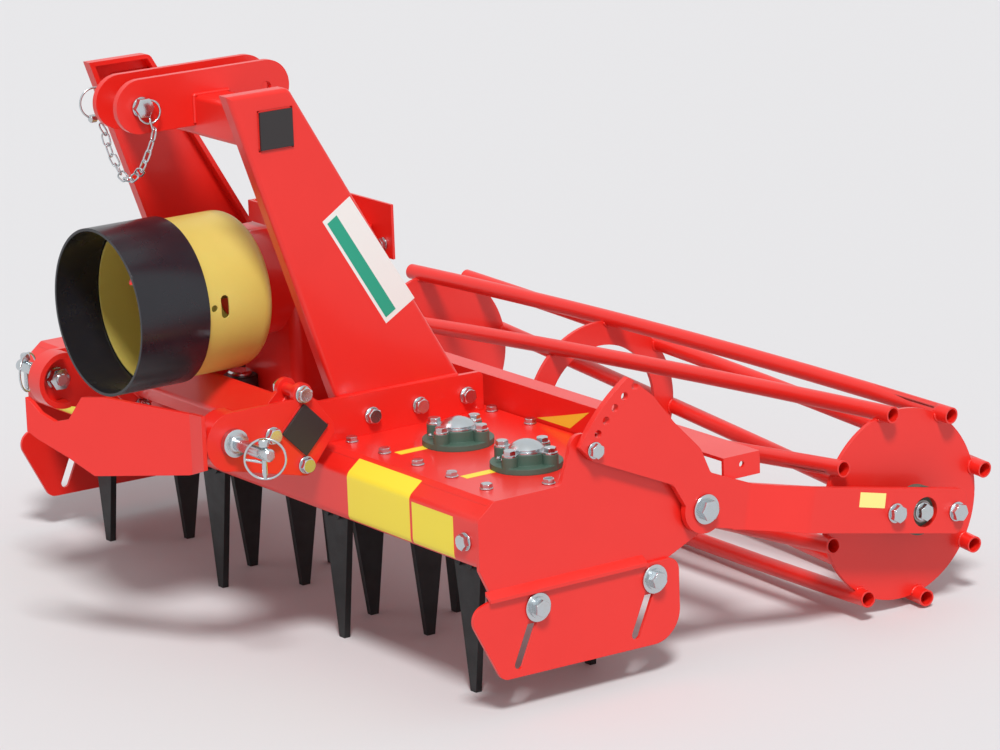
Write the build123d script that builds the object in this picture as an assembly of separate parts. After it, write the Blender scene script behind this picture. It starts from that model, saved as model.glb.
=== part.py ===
from build123d import *
import math
import os

# Compact power harrow, in millimetres. X runs across the machine, the tractor stands at -Y,
# the roller is at +Y, and the tine tips and the roller stand on Z = 0.

# Rotors and tines
rotor_count = 7
rotor_pitch = 200.0
tine_circle_radius = 117.0
tine_thickness = 12.0
tine_top_width = 80.0
tine_tip_width = 16.0
tine_length = 236.0
tine_offset = 7.0
holder_thickness = 26.0
holder_width = 62.0
holder_hub_radius = 44.0
holder_hub_height = 30.0
holder_gap = 5.0
holder_bar_drop = 4.0
tine_top_drop = 5.0
rotor_shaft_radius = 22.0
running_clearance = 0.08

# Gear trough
trough_end_margin = 132.0
trough_front = 200.0
trough_rear = 190.0
trough_floor_z = 258.0
trough_height = 114.0
trough_chamfer_depth = 34.0
trough_chamfer_height = 27.0
trough_wall = 6.0
trough_flange = 44.0
trough_bend = 16.0
cover_thickness = 8.0
cover_edge_gap = 4.0
lower_boss_radius = 56.0
lower_boss_height = 8.0
gear_train_depth = 170.0
gear_train_height = 62.0
gear_train_end_gap = 40.0

# Rotor bearings on the cover
bearing_lug_circle = 49.0
bearing_lug_radius = 13.5
bearing_lug_count = 4
bearing_lug_angle = 20.0
bearing_turned_angle = 45.0
bearing_mast_gap = 0.5
bearing_base_radius = 62.0
bearing_base_height = 10.0
bearing_body_radius = 39.0
bearing_body_height = 28.0
cap_radius = 30.0
cap_brim = 6.0
cap_sheet = 3.0
cap_ear_width = 20.0
cap_wall_height = 3.0
cap_dome_height = 13.0

# End plates, deflectors and rear panel
end_plate_thickness = 8.0
end_plate_lip = 14.0
end_plate_lip_thickness = 7.0
end_plate_lip_drop = 11.0
end_plate_lip_front = -190.0
end_plate_lip_rear = 132.0
end_plate_lip_z = 215.0
end_plate_bottom_z = 150.0
end_plate_ear_y = 24.0
end_plate_ear_z = 426.0
end_plate_ear_radius = 34.0
deflector_thickness = 6.0
deflector_front_y = -166.0
deflector_rear_y = 167.0
deflector_bottom_z = 61.0
deflector_top_z = 207.0
deflector_nose = 66.0
deflector_tail = 37.0
deflector_slot_width = 17.0
deflector_slot_length = 122.0
deflector_slot_lean = 24.0
deflector_bolt_y = (-91.0, 151.0)
deflector_bolt_z = 178.0
rear_panel_height = 56.0
rear_panel_thickness = 6.0

# Mast, top link and cross tube
mast_width = 480.0
mast_sheet = 8.0
mast_flange = 27.0
mast_bend = 8.0
mast_top_corner = 16.0
mast_top_z = 996.0
mast_top_front = -330.0
mast_top_rear = -207.0
mast_foot_z = 420.0
mast_foot_front = -132.0
mast_foot_rear = 131.0
foot_plate_thickness = 10.0
foot_plate_height = 70.0
foot_plate_rear = 160.0
square_tube = 70.0
square_tube_wall = 6.0
square_tube_bend = 8.0
cross_tube_y = -238.0
cross_tube_drop = 66.0
link_plate_gap = 56.0
link_plate_thickness = 12.0
link_plate_height = 94.0
link_front_y = -380.0
link_rear_y = -127.0
link_axis_rise = 30.0
link_hole_radius = 9.75
link_pin_radius = 9.5
link_pin_overhang = 12.0
cap_plate = 4.0
cap_inset = 2.5

# Lower hitch
lower_beam_y = -247.0
lower_beam_z = 421.0
lower_beam_overhang = 1.0
bracket_reach = 60.0
bracket_sheet = 10.0
bracket_lip = 40.0
bracket_nose_radius = 51.0
hitch_pin_y = -390.0
hitch_pin_z = 425.0
hitch_pin_radius = 11.0
hitch_pin_length = 104.0
hitch_collar_radius = 20.0
hitch_collar_length = 14.0
hitch_nut_radius = 21.0
hitch_nut_length = 20.0
clamp_spread = 62.0
clamp_lug_radius = 19.0
clamp_spacer_radius = 11.0
rest_tab = 38.0
rest_tip_x = -28.0
rest_slope = 0.517
rest_thickness = 8.0
rest_low_z = -85.0
rest_height = 160.0
# Side view of the rest between the bend and the tip: across from the tip, height from the hitch pins
rest_lower_edge = (
    (285.0, -55.0),
    (117.0, -75.0),
    (71.0, -47.0),
    (18.0, -20.0),
)
rest_upper_edge = (
    (9.0, 46.0),
    (25.0, 27.0),
    (50.0, 14.0),
    (76.0, 21.0),
    (101.0, 62.0),
    (140.0, 66.0),
    (212.0, 59.0),
    (286.0, 52.0),
)
rest_root_low = -39.0
rest_root_high = 55.0
rest_tip_low = -7.0
rest_tip_high = 53.0

# Gearbox and shaft shield
pto_z = 608.0
pto_stub_radius = 17.4
pto_stub_length = 84.0
pto_collar = 4.0
gearbox_width = 184.0
gearbox_front_y = -125.0
gearbox_rear_y = 55.0
gearbox_corner = 22.0
gearbox_foot_overhang = 16.0
gearbox_foot = 24.0
gearbox_top_z = 694.0
gearbox_bell_radius = 92.0
gearbox_bell_length = 62.0
shield_front_y = -463.0
shield_seam_y = -327.0
shield_overlap = 52.0
shield_slot_y = -292.0
shield_slot_rise = 6.0
shield_slot_length = 40.0
shield_slot_width = 16.0
shield_hole_y = -313.5
shield_hole_radius = 6.0
shield_seat_gap = 0.1
shield_beam_gap = 1.5
shield_radius = 146.0
shield_front_wall = 5.0
shield_rear_wall = 3.0
shield_rear_step = 2.0
shield_rear_bend = 26.0
shield_back_hole = 60.0
guard_width = 278.0
guard_height = 98.0
guard_top_z = 739.0
guard_sheet = 5.0
guard_strip = 37.0
guard_side_x = 75.0
guard_front_y = -104.0

# Roller frame and roller
arm_gap = 5.0
arm_thickness = 12.0
arm_width = 80.0
arm_pivot_y = 255.0
arm_pivot_z = 281.0
arm_drop_deg = 11.2
arm_rise = 4.0
arm_end = 92.0
arm_joggle_start = 95.0
arm_joggle_length = 118.0
arm_boss_radius = 43.0
pivot_pin_radius = 12.0
pivot_washer_radius = 26.0
pivot_washer_thickness = 5.0
pivot_head_radius = 17.0
pivot_head_height = 12.0
face_gap = 0.3
sector_hole_radius = 7.0
sector_circle = 278.0
sector_first_deg = 120.5
sector_step_deg = 5.4
sector_hole_count = 6
sector_margin = 21.0
# Edge of the depth sector, from the pivot: toward the roller, up, corner radius
sector_edge = (
    (-47.0, 22.0, 0.0),
    (-66.0, 54.0, 16.0),
    (-231.0, 126.0, 4.0),
    (-269.0, 167.0, 14.0),
    (-285.0, 189.0, 0.0),
    (-195.0, 279.0, 0.0),
    (-149.0, 253.0, 22.0),
    (-105.0, 217.0, 60.0),
    (-61.0, 162.0, 60.0),
    (-7.0, 107.0, 40.0),
    (13.0, 61.0, 14.0),
)
roller_y = 714.0
roller_tube_circle = 177.0
roller_tube_radius = 15.0
roller_tube_wall = 3.0
roller_tube_count = 8
roller_tube_phase_deg = -11.6
roller_twist_deg = -42.0
roller_half_length = 746.0
roller_disc_radius = 172.0
roller_disc_thickness = 8.0
roller_disc_inset = 26.0
roller_ring_x = -164.0
roller_ring_hole = 126.0
roller_shaft_radius = 20.0
roller_shaft_hole = 27.0
roller_bearing_spacing = 144.0
roller_bearing_flange = 40.0
roller_bearing_sheet = 13.0
roller_bearing_radius = 44.0
roller_bearing_depth = 20.0
roller_end_gap = 9.0
cross_beam_y = 344.0
cross_beam_z = 357.0
cross_beam_width = 78.0
cross_beam_sheet = 6.0
cross_beam_lip = 40.0
cross_beam_hole_radius = 5.5
cross_beam_hole_drop = 17.0

# Places that follow from the sizes above
half_trough = (rotor_count - 1) / 2 * rotor_pitch + trough_end_margin
deck_z = trough_floor_z + trough_height
end_plate_x = half_trough + end_plate_thickness
holder_top_z = trough_floor_z - lower_boss_height - holder_gap
holder_bar_top = holder_top_z - holder_bar_drop
half_mast = mast_width / 2
bracket_outer_x = half_mast + bracket_reach
cross_tube_z = mast_top_z - cross_tube_drop
link_axis_z = cross_tube_z + link_axis_rise
arm_inner_x = end_plate_x + arm_gap
arm_outer_x = arm_inner_x + arm_thickness
arm_joggle = roller_half_length + roller_end_gap + roller_bearing_depth - arm_inner_x
pivot_hole_radius = pivot_pin_radius + running_clearance
roller_z = roller_tube_circle + roller_tube_radius
rest_root_y = hitch_pin_y - bracket_nose_radius - rest_thickness
rest_bend_x = bracket_outer_x - rest_tab
rest_front_y = rest_root_y - (rest_bend_x - rest_tip_x) * rest_slope
roller_rear_y = roller_y + roller_tube_circle + roller_tube_radius
origin_y = (rest_front_y + roller_rear_y) / 2
rotor_x = [(index - (rotor_count - 1) / 2) * rotor_pitch for index in range(rotor_count)]


def save(name, shape):
    moved = Pos(0, -origin_y, 0) * shape
    moved.label = name
    export_step(moved, f"parts/{name}.step")


def outline(points, radius=0.0):
    """A closed flat shape. A point's third number is its corner's own radius."""
    face = make_face(Polyline(*[point[:2] for point in points], close=True))
    corners = [(point[0], point[1], point[2] if len(point) > 2 else radius) for point in points]
    for size in sorted({corner[2] for corner in corners if corner[2] > 0}):
        wanted = [Vector(corner[0], corner[1]) for corner in corners if corner[2] == size]
        picked = [v for v in face.vertices() if min((Vector(v.X, v.Y) - w).length for w in wanted) < 0.01]
        face = fillet(picked, size)
    return face


def disc(y, z, radius):
    return Pos(y, z) * Circle(radius)


def plate_yz(face, x_low, thickness):
    """A flat plate across X: the face's first axis is Y and its second is Z."""
    return extrude(Plane.YZ.offset(x_low) * face, thickness)


def plate_xy(face, z_low, thickness):
    return extrude(Plane.XY.offset(z_low) * face, thickness)


def rod_x(x_low, x_high, y, z, radius):
    return extrude(Plane.YZ.offset(x_low) * Pos(y, z) * Circle(radius), x_high - x_low)


def rod_y(y_low, y_high, x, z, radius):
    disc = Plane(origin=(x, y_low, z), x_dir=(1, 0, 0), z_dir=(0, 1, 0)) * Circle(radius)
    return extrude(disc, y_high - y_low)


def rod_z(z_low, z_high, x, y, radius):
    return extrude(Plane.XY.offset(z_low) * Pos(x, y) * Circle(radius), z_high - z_low)


def block(x_low, x_high, y_low, y_high, z_low, z_high):
    size = (x_high - x_low, y_high - y_low, z_high - z_low)
    return Pos(x_low, y_low, z_low) * Box(*size, align=(Align.MIN, Align.MIN, Align.MIN))


def both_sides(name, shape):
    """Writes a piece of the right-hand end and its mirror image."""
    save(f"{name}_right", shape)
    save(f"{name}_left", mirror(shape, about=Plane.YZ))


os.makedirs("parts", exist_ok=True)


# Trough: a folded channel with chamfered front edge and inward flanges, open at the top
def build_trough():
    front = -trough_front
    rear = trough_rear
    shoulder = deck_z - trough_chamfer_height
    flange_top = deck_z - cover_thickness
    slope = trough_chamfer_depth / trough_chamfer_height
    chamfer_y = front + (flange_top - shoulder) * slope
    bend = trough_bend
    outer = outline([
        (front, trough_floor_z, bend),
        (rear, trough_floor_z, bend),
        (rear, flange_top),
        (chamfer_y, flange_top),
        (front, shoulder, bend),
    ])
    inner = outline([
        (front + trough_wall, trough_floor_z + trough_wall, bend - trough_wall),
        (rear - trough_wall, trough_floor_z + trough_wall, bend - trough_wall),
        (rear - trough_wall, flange_top - trough_wall),
        (chamfer_y + trough_wall / 2, flange_top - trough_wall),
        (front + trough_wall, shoulder - trough_wall / 2, bend - trough_wall),
    ])
    mouth = outline([
        (chamfer_y + trough_flange, flange_top - 2 * trough_wall),
        (rear - trough_flange, flange_top - 2 * trough_wall),
        (rear - trough_flange, flange_top + trough_wall),
        (chamfer_y + trough_flange, flange_top + trough_wall),
    ])
    trough = plate_yz(outer - inner - mouth, -half_trough, 2 * half_trough)
    for x in rotor_x:
        boss_bottom = trough_floor_z - lower_boss_height
        trough += rod_z(boss_bottom, trough_floor_z + trough_wall, x, 0, lower_boss_radius)
    for x in rotor_x:
        bore = rotor_shaft_radius + running_clearance
        bore_top = trough_floor_z + trough_wall + 1
        trough -= rod_z(trough_floor_z - lower_boss_height - 1, bore_top, x, 0, bore)
    return trough


def build_cover():
    front = -trough_front + trough_chamfer_depth
    bevel = cover_thickness * trough_chamfer_depth / trough_chamfer_height
    rear = trough_rear - rear_panel_thickness - cover_edge_gap
    low = deck_z - cover_thickness
    face = outline([(front - bevel, low), (front, deck_z), (rear, deck_z), (rear, low)])
    return plate_yz(face, -half_trough, 2 * half_trough)


def build_gear_train():
    half_length = half_trough - gear_train_end_gap
    bottom = trough_floor_z + trough_wall
    half_depth = gear_train_depth / 2
    train = block(-half_length, half_length, -half_depth, half_depth, bottom, bottom + gear_train_height)
    for x in rotor_x:
        relief = rotor_shaft_radius + running_clearance
        train -= rod_z(bottom - 1, bottom + gear_train_height / 2, x, 0, relief)
    return train


save("trough", build_trough())
save("trough_cover", build_cover())
save("gear_train", build_gear_train())


# Rotors: a shaft and hub with a cross bar that carries two knife tines
def build_holder(x):
    top = holder_top_z
    hub = rod_z(top - holder_hub_height, top, x, 0, holder_hub_radius)
    half_bar = tine_circle_radius - tine_thickness / 2
    bar_face = Rectangle(holder_width, 2 * half_bar)
    bar = plate_xy(Pos(x, 0) * bar_face, holder_bar_top - holder_thickness, holder_thickness)
    shaft_top = trough_floor_z + trough_wall + gear_train_height / 2 - 2
    shaft = rod_z(top - 1, shaft_top, x, 0, rotor_shaft_radius)
    return hub + bar + shaft


def build_tines(x):
    top_z = holder_bar_top - tine_top_drop
    tip_z = top_z - tine_length
    blade = outline([
        (-tine_top_width / 2 - tine_offset, top_z),
        (tine_top_width / 2 - tine_offset, top_z),
        (tine_tip_width / 2 - tine_offset / 2, tip_z),
        (-tine_tip_width / 2 - tine_offset / 2, tip_z),
    ])
    y_inner = tine_circle_radius - tine_thickness / 2
    plane = Plane(origin=(x, -y_inner, 0), x_dir=(1, 0, 0), z_dir=(0, -1, 0))
    front = extrude(plane * blade, tine_thickness)
    return front + Pos(x, 0) * Rot(0, 0, 180) * Pos(-x, 0) * front


for index, x in enumerate(rotor_x):
    crossed = 90 if index % 2 else 0
    turn = Pos(x, 0) * Rot(0, 0, crossed) * Pos(-x, 0)
    save(f"rotor_{index + 1}_holder", turn * build_holder(x))
    save(f"rotor_{index + 1}_tines", turn * build_tines(x))


# Rotor bearings: a cast flange with four posts on the cover, under a pressed cap with four ears.
# The flanges beside the mast are turned and cut flat, so that the foot plates stand clear of them.
def lug_places(x):
    start = bearing_turned_angle if abs(x) == rotor_pitch else bearing_lug_angle
    step = 360 / bearing_lug_count
    angles = [math.radians(start + step * index) for index in range(bearing_lug_count)]
    return [(x + bearing_lug_circle * math.cos(a), bearing_lug_circle * math.sin(a)) for a in angles]


def clear_of_mast(shape, x):
    if abs(x) != rotor_pitch:
        return shape
    limit = half_mast - bearing_mast_gap
    low, high = (limit, limit + rotor_pitch) if x > 0 else (-limit - rotor_pitch, -limit)
    return shape - block(low, high, -rotor_pitch, rotor_pitch, deck_z - 1, deck_z + rotor_pitch)


def build_bearing(x):
    top = deck_z + bearing_body_height
    bearing = rod_z(deck_z, deck_z + bearing_base_height, x, 0, bearing_base_radius)
    bearing += rod_z(deck_z, top, x, 0, bearing_body_radius)
    for lug_x, lug_y in lug_places(x):
        bearing += rod_z(deck_z, top, lug_x, lug_y, bearing_lug_radius)
    return clear_of_mast(bearing, x)


def build_cap(x):
    rim_z = deck_z + bearing_body_height
    sheet = rod_z(rim_z, rim_z + cap_sheet, x, 0, cap_radius + cap_brim)
    for lug_x, lug_y in lug_places(x):
        sheet += rod_z(rim_z, rim_z + cap_sheet, lug_x, lug_y, bearing_lug_radius - 1)
        reach = math.hypot(lug_x - x, lug_y)
        arm = Pos((x + lug_x) / 2, lug_y / 2) * Rot(0, 0, math.degrees(math.atan2(lug_y, lug_x - x)))
        sheet += plate_xy(arm * Rectangle(reach, cap_ear_width), rim_z, cap_sheet)
    dome_radius = (cap_radius ** 2 + cap_dome_height ** 2) / (2 * cap_dome_height)
    wall_top = rim_z + cap_sheet + cap_wall_height
    dome = Pos(x, 0, wall_top + cap_dome_height - dome_radius) * Sphere(dome_radius)
    dome = dome & rod_z(wall_top, wall_top + cap_dome_height + 1, x, 0, cap_radius + 1)
    wall = rod_z(rim_z, wall_top, x, 0, cap_radius)
    return clear_of_mast(sheet + wall + dome, x)


open_rotor_x = [x for x in rotor_x if x != 0]
save("rotor_bearings", Compound(children=[build_bearing(x) for x in open_rotor_x]))
save("bearing_caps", Compound(children=[build_cap(x) for x in open_rotor_x]))


# End plate: closes the trough, carries the arm's pivot, the depth bolt and the deflector
def build_end_plate():
    front = -trough_front
    ear_front = end_plate_ear_y - end_plate_ear_radius
    boss_y = arm_pivot_y + arm_boss_radius - 4
    face = outline([
        (front, trough_floor_z, 8),
        (front, deck_z - trough_chamfer_height, 12),
        (front + trough_chamfer_depth, deck_z, 8),
        (ear_front - 22, deck_z, 12),
        (ear_front - 4, end_plate_ear_z - 4, 6),
        (ear_front + 4, end_plate_ear_z + end_plate_ear_radius - 4, 22),
        (end_plate_ear_y + 24, end_plate_ear_z + end_plate_ear_radius - 12, 22),
        (arm_pivot_y + 22, arm_pivot_z + 42, 30),
        (boss_y + 4, arm_pivot_z + 4, 30),
        (boss_y - 4, arm_pivot_z - 30, 20),
        (deflector_rear_y + 8, end_plate_lip_z - 14, 12),
        (deflector_rear_y - 8, end_plate_bottom_z, 12),
        (front + 52, end_plate_bottom_z, 12),
    ])
    face -= disc(arm_pivot_y, arm_pivot_z, pivot_hole_radius)
    plate = plate_yz(face, half_trough, end_plate_thickness)
    lip_face = outline([
        (end_plate_x - 1, end_plate_lip_z + end_plate_lip_thickness),
        (end_plate_x - 1, end_plate_lip_z),
        (end_plate_x + end_plate_lip, end_plate_lip_z - end_plate_lip_drop),
        (end_plate_x + end_plate_lip, end_plate_lip_z - end_plate_lip_drop + end_plate_lip_thickness),
    ])
    lip_plane = Plane(origin=(0, end_plate_lip_front, 0), x_dir=(1, 0, 0), z_dir=(0, -1, 0))
    return plate + extrude(lip_plane * lip_face, end_plate_lip_front - end_plate_lip_rear)


def build_deflector():
    low_front = deflector_front_y
    face = outline([
        (low_front, deflector_bottom_z + 4, 22),
        (deflector_rear_y + deflector_tail, deflector_bottom_z, 55),
        (deflector_rear_y + deflector_tail, deflector_top_z, 24),
        (low_front - 16, deflector_top_z, 30),
        (low_front - deflector_nose, deflector_top_z - 16, 26),
    ])
    lean = math.radians(deflector_slot_lean)
    reach = deflector_slot_length / 2 - deflector_slot_width / 2 - 5
    for y in deflector_bolt_y:
        slot = Rot(0, 0, 90 - deflector_slot_lean) * SlotOverall(deflector_slot_length, deflector_slot_width)
        face -= Pos(y - reach * math.sin(lean), deflector_bolt_z - reach * math.cos(lean)) * slot
    return plate_yz(face, end_plate_x, deflector_thickness)


both_sides("end_plate", build_end_plate())
both_sides("side_deflector", build_deflector())
rear_y = trough_rear - rear_panel_thickness
panel_bottom = deck_z - cover_thickness
save("rear_panel", block(-half_trough, half_trough, rear_y, trough_rear, panel_bottom, deck_z + rear_panel_height))


# Mast: two leaning channel legs, closed at the top, with foot plates and a square tube between
def build_mast_leg():
    front_slope = (mast_foot_front - mast_top_front) / (mast_top_z - mast_foot_z)
    rear_slope = (mast_foot_rear - mast_top_rear) / (mast_top_z - mast_foot_z)
    leg_points = [
        (mast_top_front, mast_top_z),
        (mast_top_rear, mast_top_z, mast_top_corner),
        (mast_foot_rear, mast_foot_z),
        (mast_foot_front, mast_foot_z),
    ]
    inset = mast_sheet * 1.2
    inner_top = mast_top_z - mast_sheet
    inner_points = [
        (mast_top_front + inset + mast_sheet * front_slope, inner_top),
        (mast_top_rear - inset + mast_sheet * rear_slope, inner_top),
        (mast_foot_rear - inset, mast_foot_z - 1),
        (mast_foot_front + inset, mast_foot_z - 1),
    ]
    leg = plate_yz(outline(leg_points), half_mast - mast_flange, mast_flange)
    leg_height = mast_top_z - mast_foot_z
    bent = [edge for edge in leg.edges() if edge.center().X > half_mast - 1 and edge.length > leg_height]
    leg = fillet(bent, mast_bend)
    leg -= plate_yz(outline(inner_points), half_mast - mast_flange - 1, mast_flange - mast_sheet + 1)
    half = square_tube / 2 + 0.2
    leg -= block(0, half_mast + 1, cross_tube_y - half, cross_tube_y + half, cross_tube_z - half, cross_tube_z + half)
    return leg


def diamond(half_diagonal, x_low, x_high, bend=0.0):
    face = outline([
        (lower_beam_y - half_diagonal, lower_beam_z),
        (lower_beam_y, lower_beam_z + half_diagonal),
        (lower_beam_y + half_diagonal, lower_beam_z),
        (lower_beam_y, lower_beam_z - half_diagonal),
    ], bend)
    return plate_yz(face, x_low, x_high - x_low)


half_diagonal = square_tube / math.sqrt(2)
beam_end_x = bracket_outer_x + lower_beam_overhang


def clamp_places():
    """Centres of the three clamp bolts round the lower beam."""
    return [
        (lower_beam_y, lower_beam_z + clamp_spread),
        (lower_beam_y - clamp_spread, lower_beam_z),
        (lower_beam_y, lower_beam_z - clamp_spread),
    ]


def build_foot_plate():
    (top_y, top_z), (front_y, front_z), (low_y, low_z) = clamp_places()
    lug = clamp_lug_radius
    face = outline([
        (front_y - 2, front_z + lug),
        (top_y - lug, top_z - 2),
        (top_y + lug, top_z - 2, 8),
        (top_y + 66, deck_z + foot_plate_height + 6, 20),
        (foot_plate_rear, deck_z + foot_plate_height, 10),
        (foot_plate_rear, deck_z),
        (-trough_front + trough_chamfer_depth, deck_z),
        (low_y + 30, low_z + 14),
        (low_y + lug - 2, low_z - 6),
        (low_y - 4, low_z - lug),
        (front_y - 2, front_z - lug),
    ])
    for y, z in clamp_places():
        face += disc(y, z, lug)
    plate = plate_yz(face, half_mast, foot_plate_thickness)
    return plate - diamond(half_diagonal + 0.2, half_mast - 1, half_mast + foot_plate_thickness + 1)


def build_bracket():
    web_x = bracket_outer_x - bracket_sheet
    nose = bracket_nose_radius
    (top_y, top_z), (front_y, front_z), (low_y, low_z) = clamp_places()
    lug = clamp_lug_radius
    corner_y = lower_beam_y + half_diagonal + 12
    body = outline([
        (hitch_pin_y, hitch_pin_z + nose),
        (top_y - lug, top_z - 8),
        (top_y + lug, top_z - 8, 8),
        (corner_y - 2, lower_beam_z + 2),
        (corner_y, lower_beam_z - 16, 8),
        (low_y + lug - 6, low_z - 12),
        (low_y - 4, low_z - lug),
        (hitch_pin_y, hitch_pin_z - nose),
    ])
    body += disc(hitch_pin_y, hitch_pin_z, nose)
    for y, z in (clamp_places()[0], clamp_places()[2]):
        body += disc(y, z, lug)
    web = plate_yz(body, web_x, bracket_sheet)
    rim = disc(hitch_pin_y, hitch_pin_z, nose) - disc(hitch_pin_y, hitch_pin_z, nose - bracket_sheet)
    rim -= Pos(hitch_pin_y + nose, hitch_pin_z) * Rectangle(2 * nose - 20, 3 * nose)
    bracket = web + plate_yz(rim, bracket_outer_x - bracket_lip, bracket_lip)
    for y, z in clamp_places():
        bracket += rod_x(half_mast + foot_plate_thickness, web_x + 1, y, z, clamp_spacer_radius)
    bracket -= diamond(half_diagonal + 0.2, web_x - 1, bracket_outer_x + 1)
    bracket -= rod_x(web_x - bracket_lip, bracket_outer_x + 1, hitch_pin_y, hitch_pin_z, hitch_pin_radius + 0.1)
    return bracket


def build_hitch_pin():
    web_x = bracket_outer_x - bracket_sheet
    pin_end = bracket_outer_x + hitch_collar_length + hitch_pin_length
    shank = rod_x(web_x - hitch_nut_length - 4, pin_end, hitch_pin_y, hitch_pin_z, hitch_pin_radius)
    collar_x = bracket_outer_x + hitch_collar_length
    collar = rod_x(bracket_outer_x, collar_x, hitch_pin_y, hitch_pin_z, hitch_collar_radius)
    nut = rod_x(web_x - hitch_nut_length, web_x, hitch_pin_y, hitch_pin_z, hitch_nut_radius)
    return shank + collar + nut


both_sides("mast_leg", build_mast_leg())
both_sides("mast_foot_plate", build_foot_plate())
both_sides("hitch_bracket", build_bracket())
both_sides("hitch_pin", build_hitch_pin())

cross_outer = Pos(cross_tube_y, cross_tube_z) * RectangleRounded(square_tube, square_tube, square_tube_bend)
bore_side = square_tube - 2 * square_tube_wall
cross_inner = Pos(cross_tube_y, cross_tube_z) * Rectangle(bore_side, bore_side)
save("mast_cross_tube", plate_yz(cross_outer - cross_inner, -half_mast, mast_width))
lower_beam = diamond(half_diagonal, -beam_end_x, beam_end_x, square_tube_bend)
lower_bore = half_diagonal - square_tube_wall * math.sqrt(2)
save("lower_hitch_beam", lower_beam - diamond(lower_bore, -beam_end_x - 1, beam_end_x + 1))
caps = []
cap_side = square_tube - 2 * cap_inset
for side in (-1, 1):
    cap_face = Pos(cross_tube_y, cross_tube_z) * Rectangle(cap_side, cap_side)
    cap_x = half_mast if side > 0 else -half_mast - cap_plate
    caps.append(plate_yz(cap_face, cap_x, cap_plate))
    end_x = beam_end_x if side > 0 else -beam_end_x - cap_plate
    caps.append(diamond(cap_side / math.sqrt(2), end_x, end_x + cap_plate, cap_inset))
save("tube_end_caps", Compound(children=caps))


# Top link: two long ears welded over the cross tube, with a pin in front and a free hole behind
def build_link_plate():
    front = link_front_y
    rear = link_rear_y
    radius = link_plate_height / 2
    mid = (front + rear) / 2
    shape = Pos(mid, link_axis_z) * SlotOverall(rear - front + 2 * radius, 2 * radius)
    half = square_tube / 2 + 0.2
    shape -= Pos(cross_tube_y, cross_tube_z) * Rectangle(2 * half, 2 * half)
    floor = cross_tube_z
    below = Pos((cross_tube_y + rear + radius) / 2, floor - radius)
    shape -= below * Rectangle(rear + radius - cross_tube_y, 2 * radius)
    for y in (front, rear):
        shape -= Pos(y, link_axis_z) * Circle(link_hole_radius)
    return plate_yz(shape, link_plate_gap / 2, link_plate_thickness)


both_sides("top_link_plate", build_link_plate())
link_outer_x = link_plate_gap / 2 + link_plate_thickness
pin_end_x = link_outer_x + link_pin_overhang
top_pin = rod_x(-pin_end_x, pin_end_x, link_front_y, link_axis_z, link_pin_radius)
save("top_link_pin", top_pin)


# Shaft rest: a tall flat arm that bends inward from the right bracket to a hook in front
def build_shaft_rest():
    rear_y = rest_root_y + rest_thickness
    tip_front = rest_front_y
    tip_rear = rest_front_y + rest_thickness
    plan = outline([
        (bracket_outer_x, rest_root_y),
        (bracket_outer_x, rear_y),
        (rest_bend_x, rear_y),
        (rest_tip_x, tip_rear),
        (rest_tip_x, tip_front),
        (rest_bend_x, rest_root_y),
    ])
    strip = plate_xy(plan, hitch_pin_z + rest_low_z, rest_height)
    edge = [(bracket_outer_x + 1, hitch_pin_z + rest_root_high)]
    edge.append((bracket_outer_x + 1, hitch_pin_z + rest_root_low))
    edge += [(rest_tip_x + across, hitch_pin_z + height) for across, height in rest_lower_edge]
    edge.append((rest_tip_x - 1, hitch_pin_z + rest_tip_low))
    edge.append((rest_tip_x - 1, hitch_pin_z + rest_tip_high))
    edge += [(rest_tip_x + across, hitch_pin_z + height) for across, height in rest_upper_edge]
    front_plane = Plane(origin=(0, hitch_pin_y, 0), x_dir=(1, 0, 0), z_dir=(0, -1, 0))
    return strip & extrude(front_plane * outline(edge), 2 * rest_height)


save("shaft_rest", build_shaft_rest())


# Gearbox on the trough's middle, with its bell, the driven stub and a two-part shaft shield
bell_face_y = gearbox_front_y - gearbox_bell_length


def build_gearbox():
    half_w = gearbox_width / 2
    foot_w = half_w + gearbox_foot_overhang
    foot = block(
        -foot_w, foot_w,
        gearbox_front_y - gearbox_foot_overhang, gearbox_rear_y + gearbox_foot_overhang,
        deck_z, deck_z + gearbox_foot,
    )
    depth = gearbox_rear_y - gearbox_front_y
    body_face = outline([
        (-half_w, gearbox_front_y),
        (half_w, gearbox_front_y),
        (half_w, gearbox_rear_y),
        (-half_w, gearbox_rear_y),
    ], gearbox_corner)
    body = plate_xy(body_face, deck_z, gearbox_top_z - deck_z)
    bell = rod_y(bell_face_y, gearbox_front_y + depth / 4, 0, pto_z, gearbox_bell_radius)
    box = foot + body + bell
    bore = pto_stub_radius + pto_collar + running_clearance
    return box - rod_y(bell_face_y - 1, gearbox_front_y, 0, pto_z, bore)


def build_pto_stub():
    thick = rod_y(bell_face_y + 4, gearbox_front_y - 1, 0, pto_z, pto_stub_radius + pto_collar)
    return thick + rod_y(bell_face_y - pto_stub_length, bell_face_y + 5, 0, pto_z, pto_stub_radius)


def build_shield_front():
    bore = shield_radius - shield_front_wall
    seat = bore - shield_rear_step
    face = make_face(Polyline(
        (shield_front_y, shield_radius),
        (shield_seam_y, shield_radius),
        (shield_seam_y, seat),
        (shield_seam_y - shield_front_wall, seat),
        (shield_seam_y - shield_front_wall, bore),
        (shield_front_y, bore),
        close=True,
    ))
    return shaft_ring(face)


def shaft_ring(face):
    """A ring about the shaft from a face whose axes are Y and the distance from the shaft."""
    profile = Plane(origin=(0, 0, pto_z), x_dir=(0, 1, 0), z_dir=(1, 0, 0))
    return revolve(profile * face, Axis((0, 0, pto_z), (0, 1, 0)))


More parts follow.
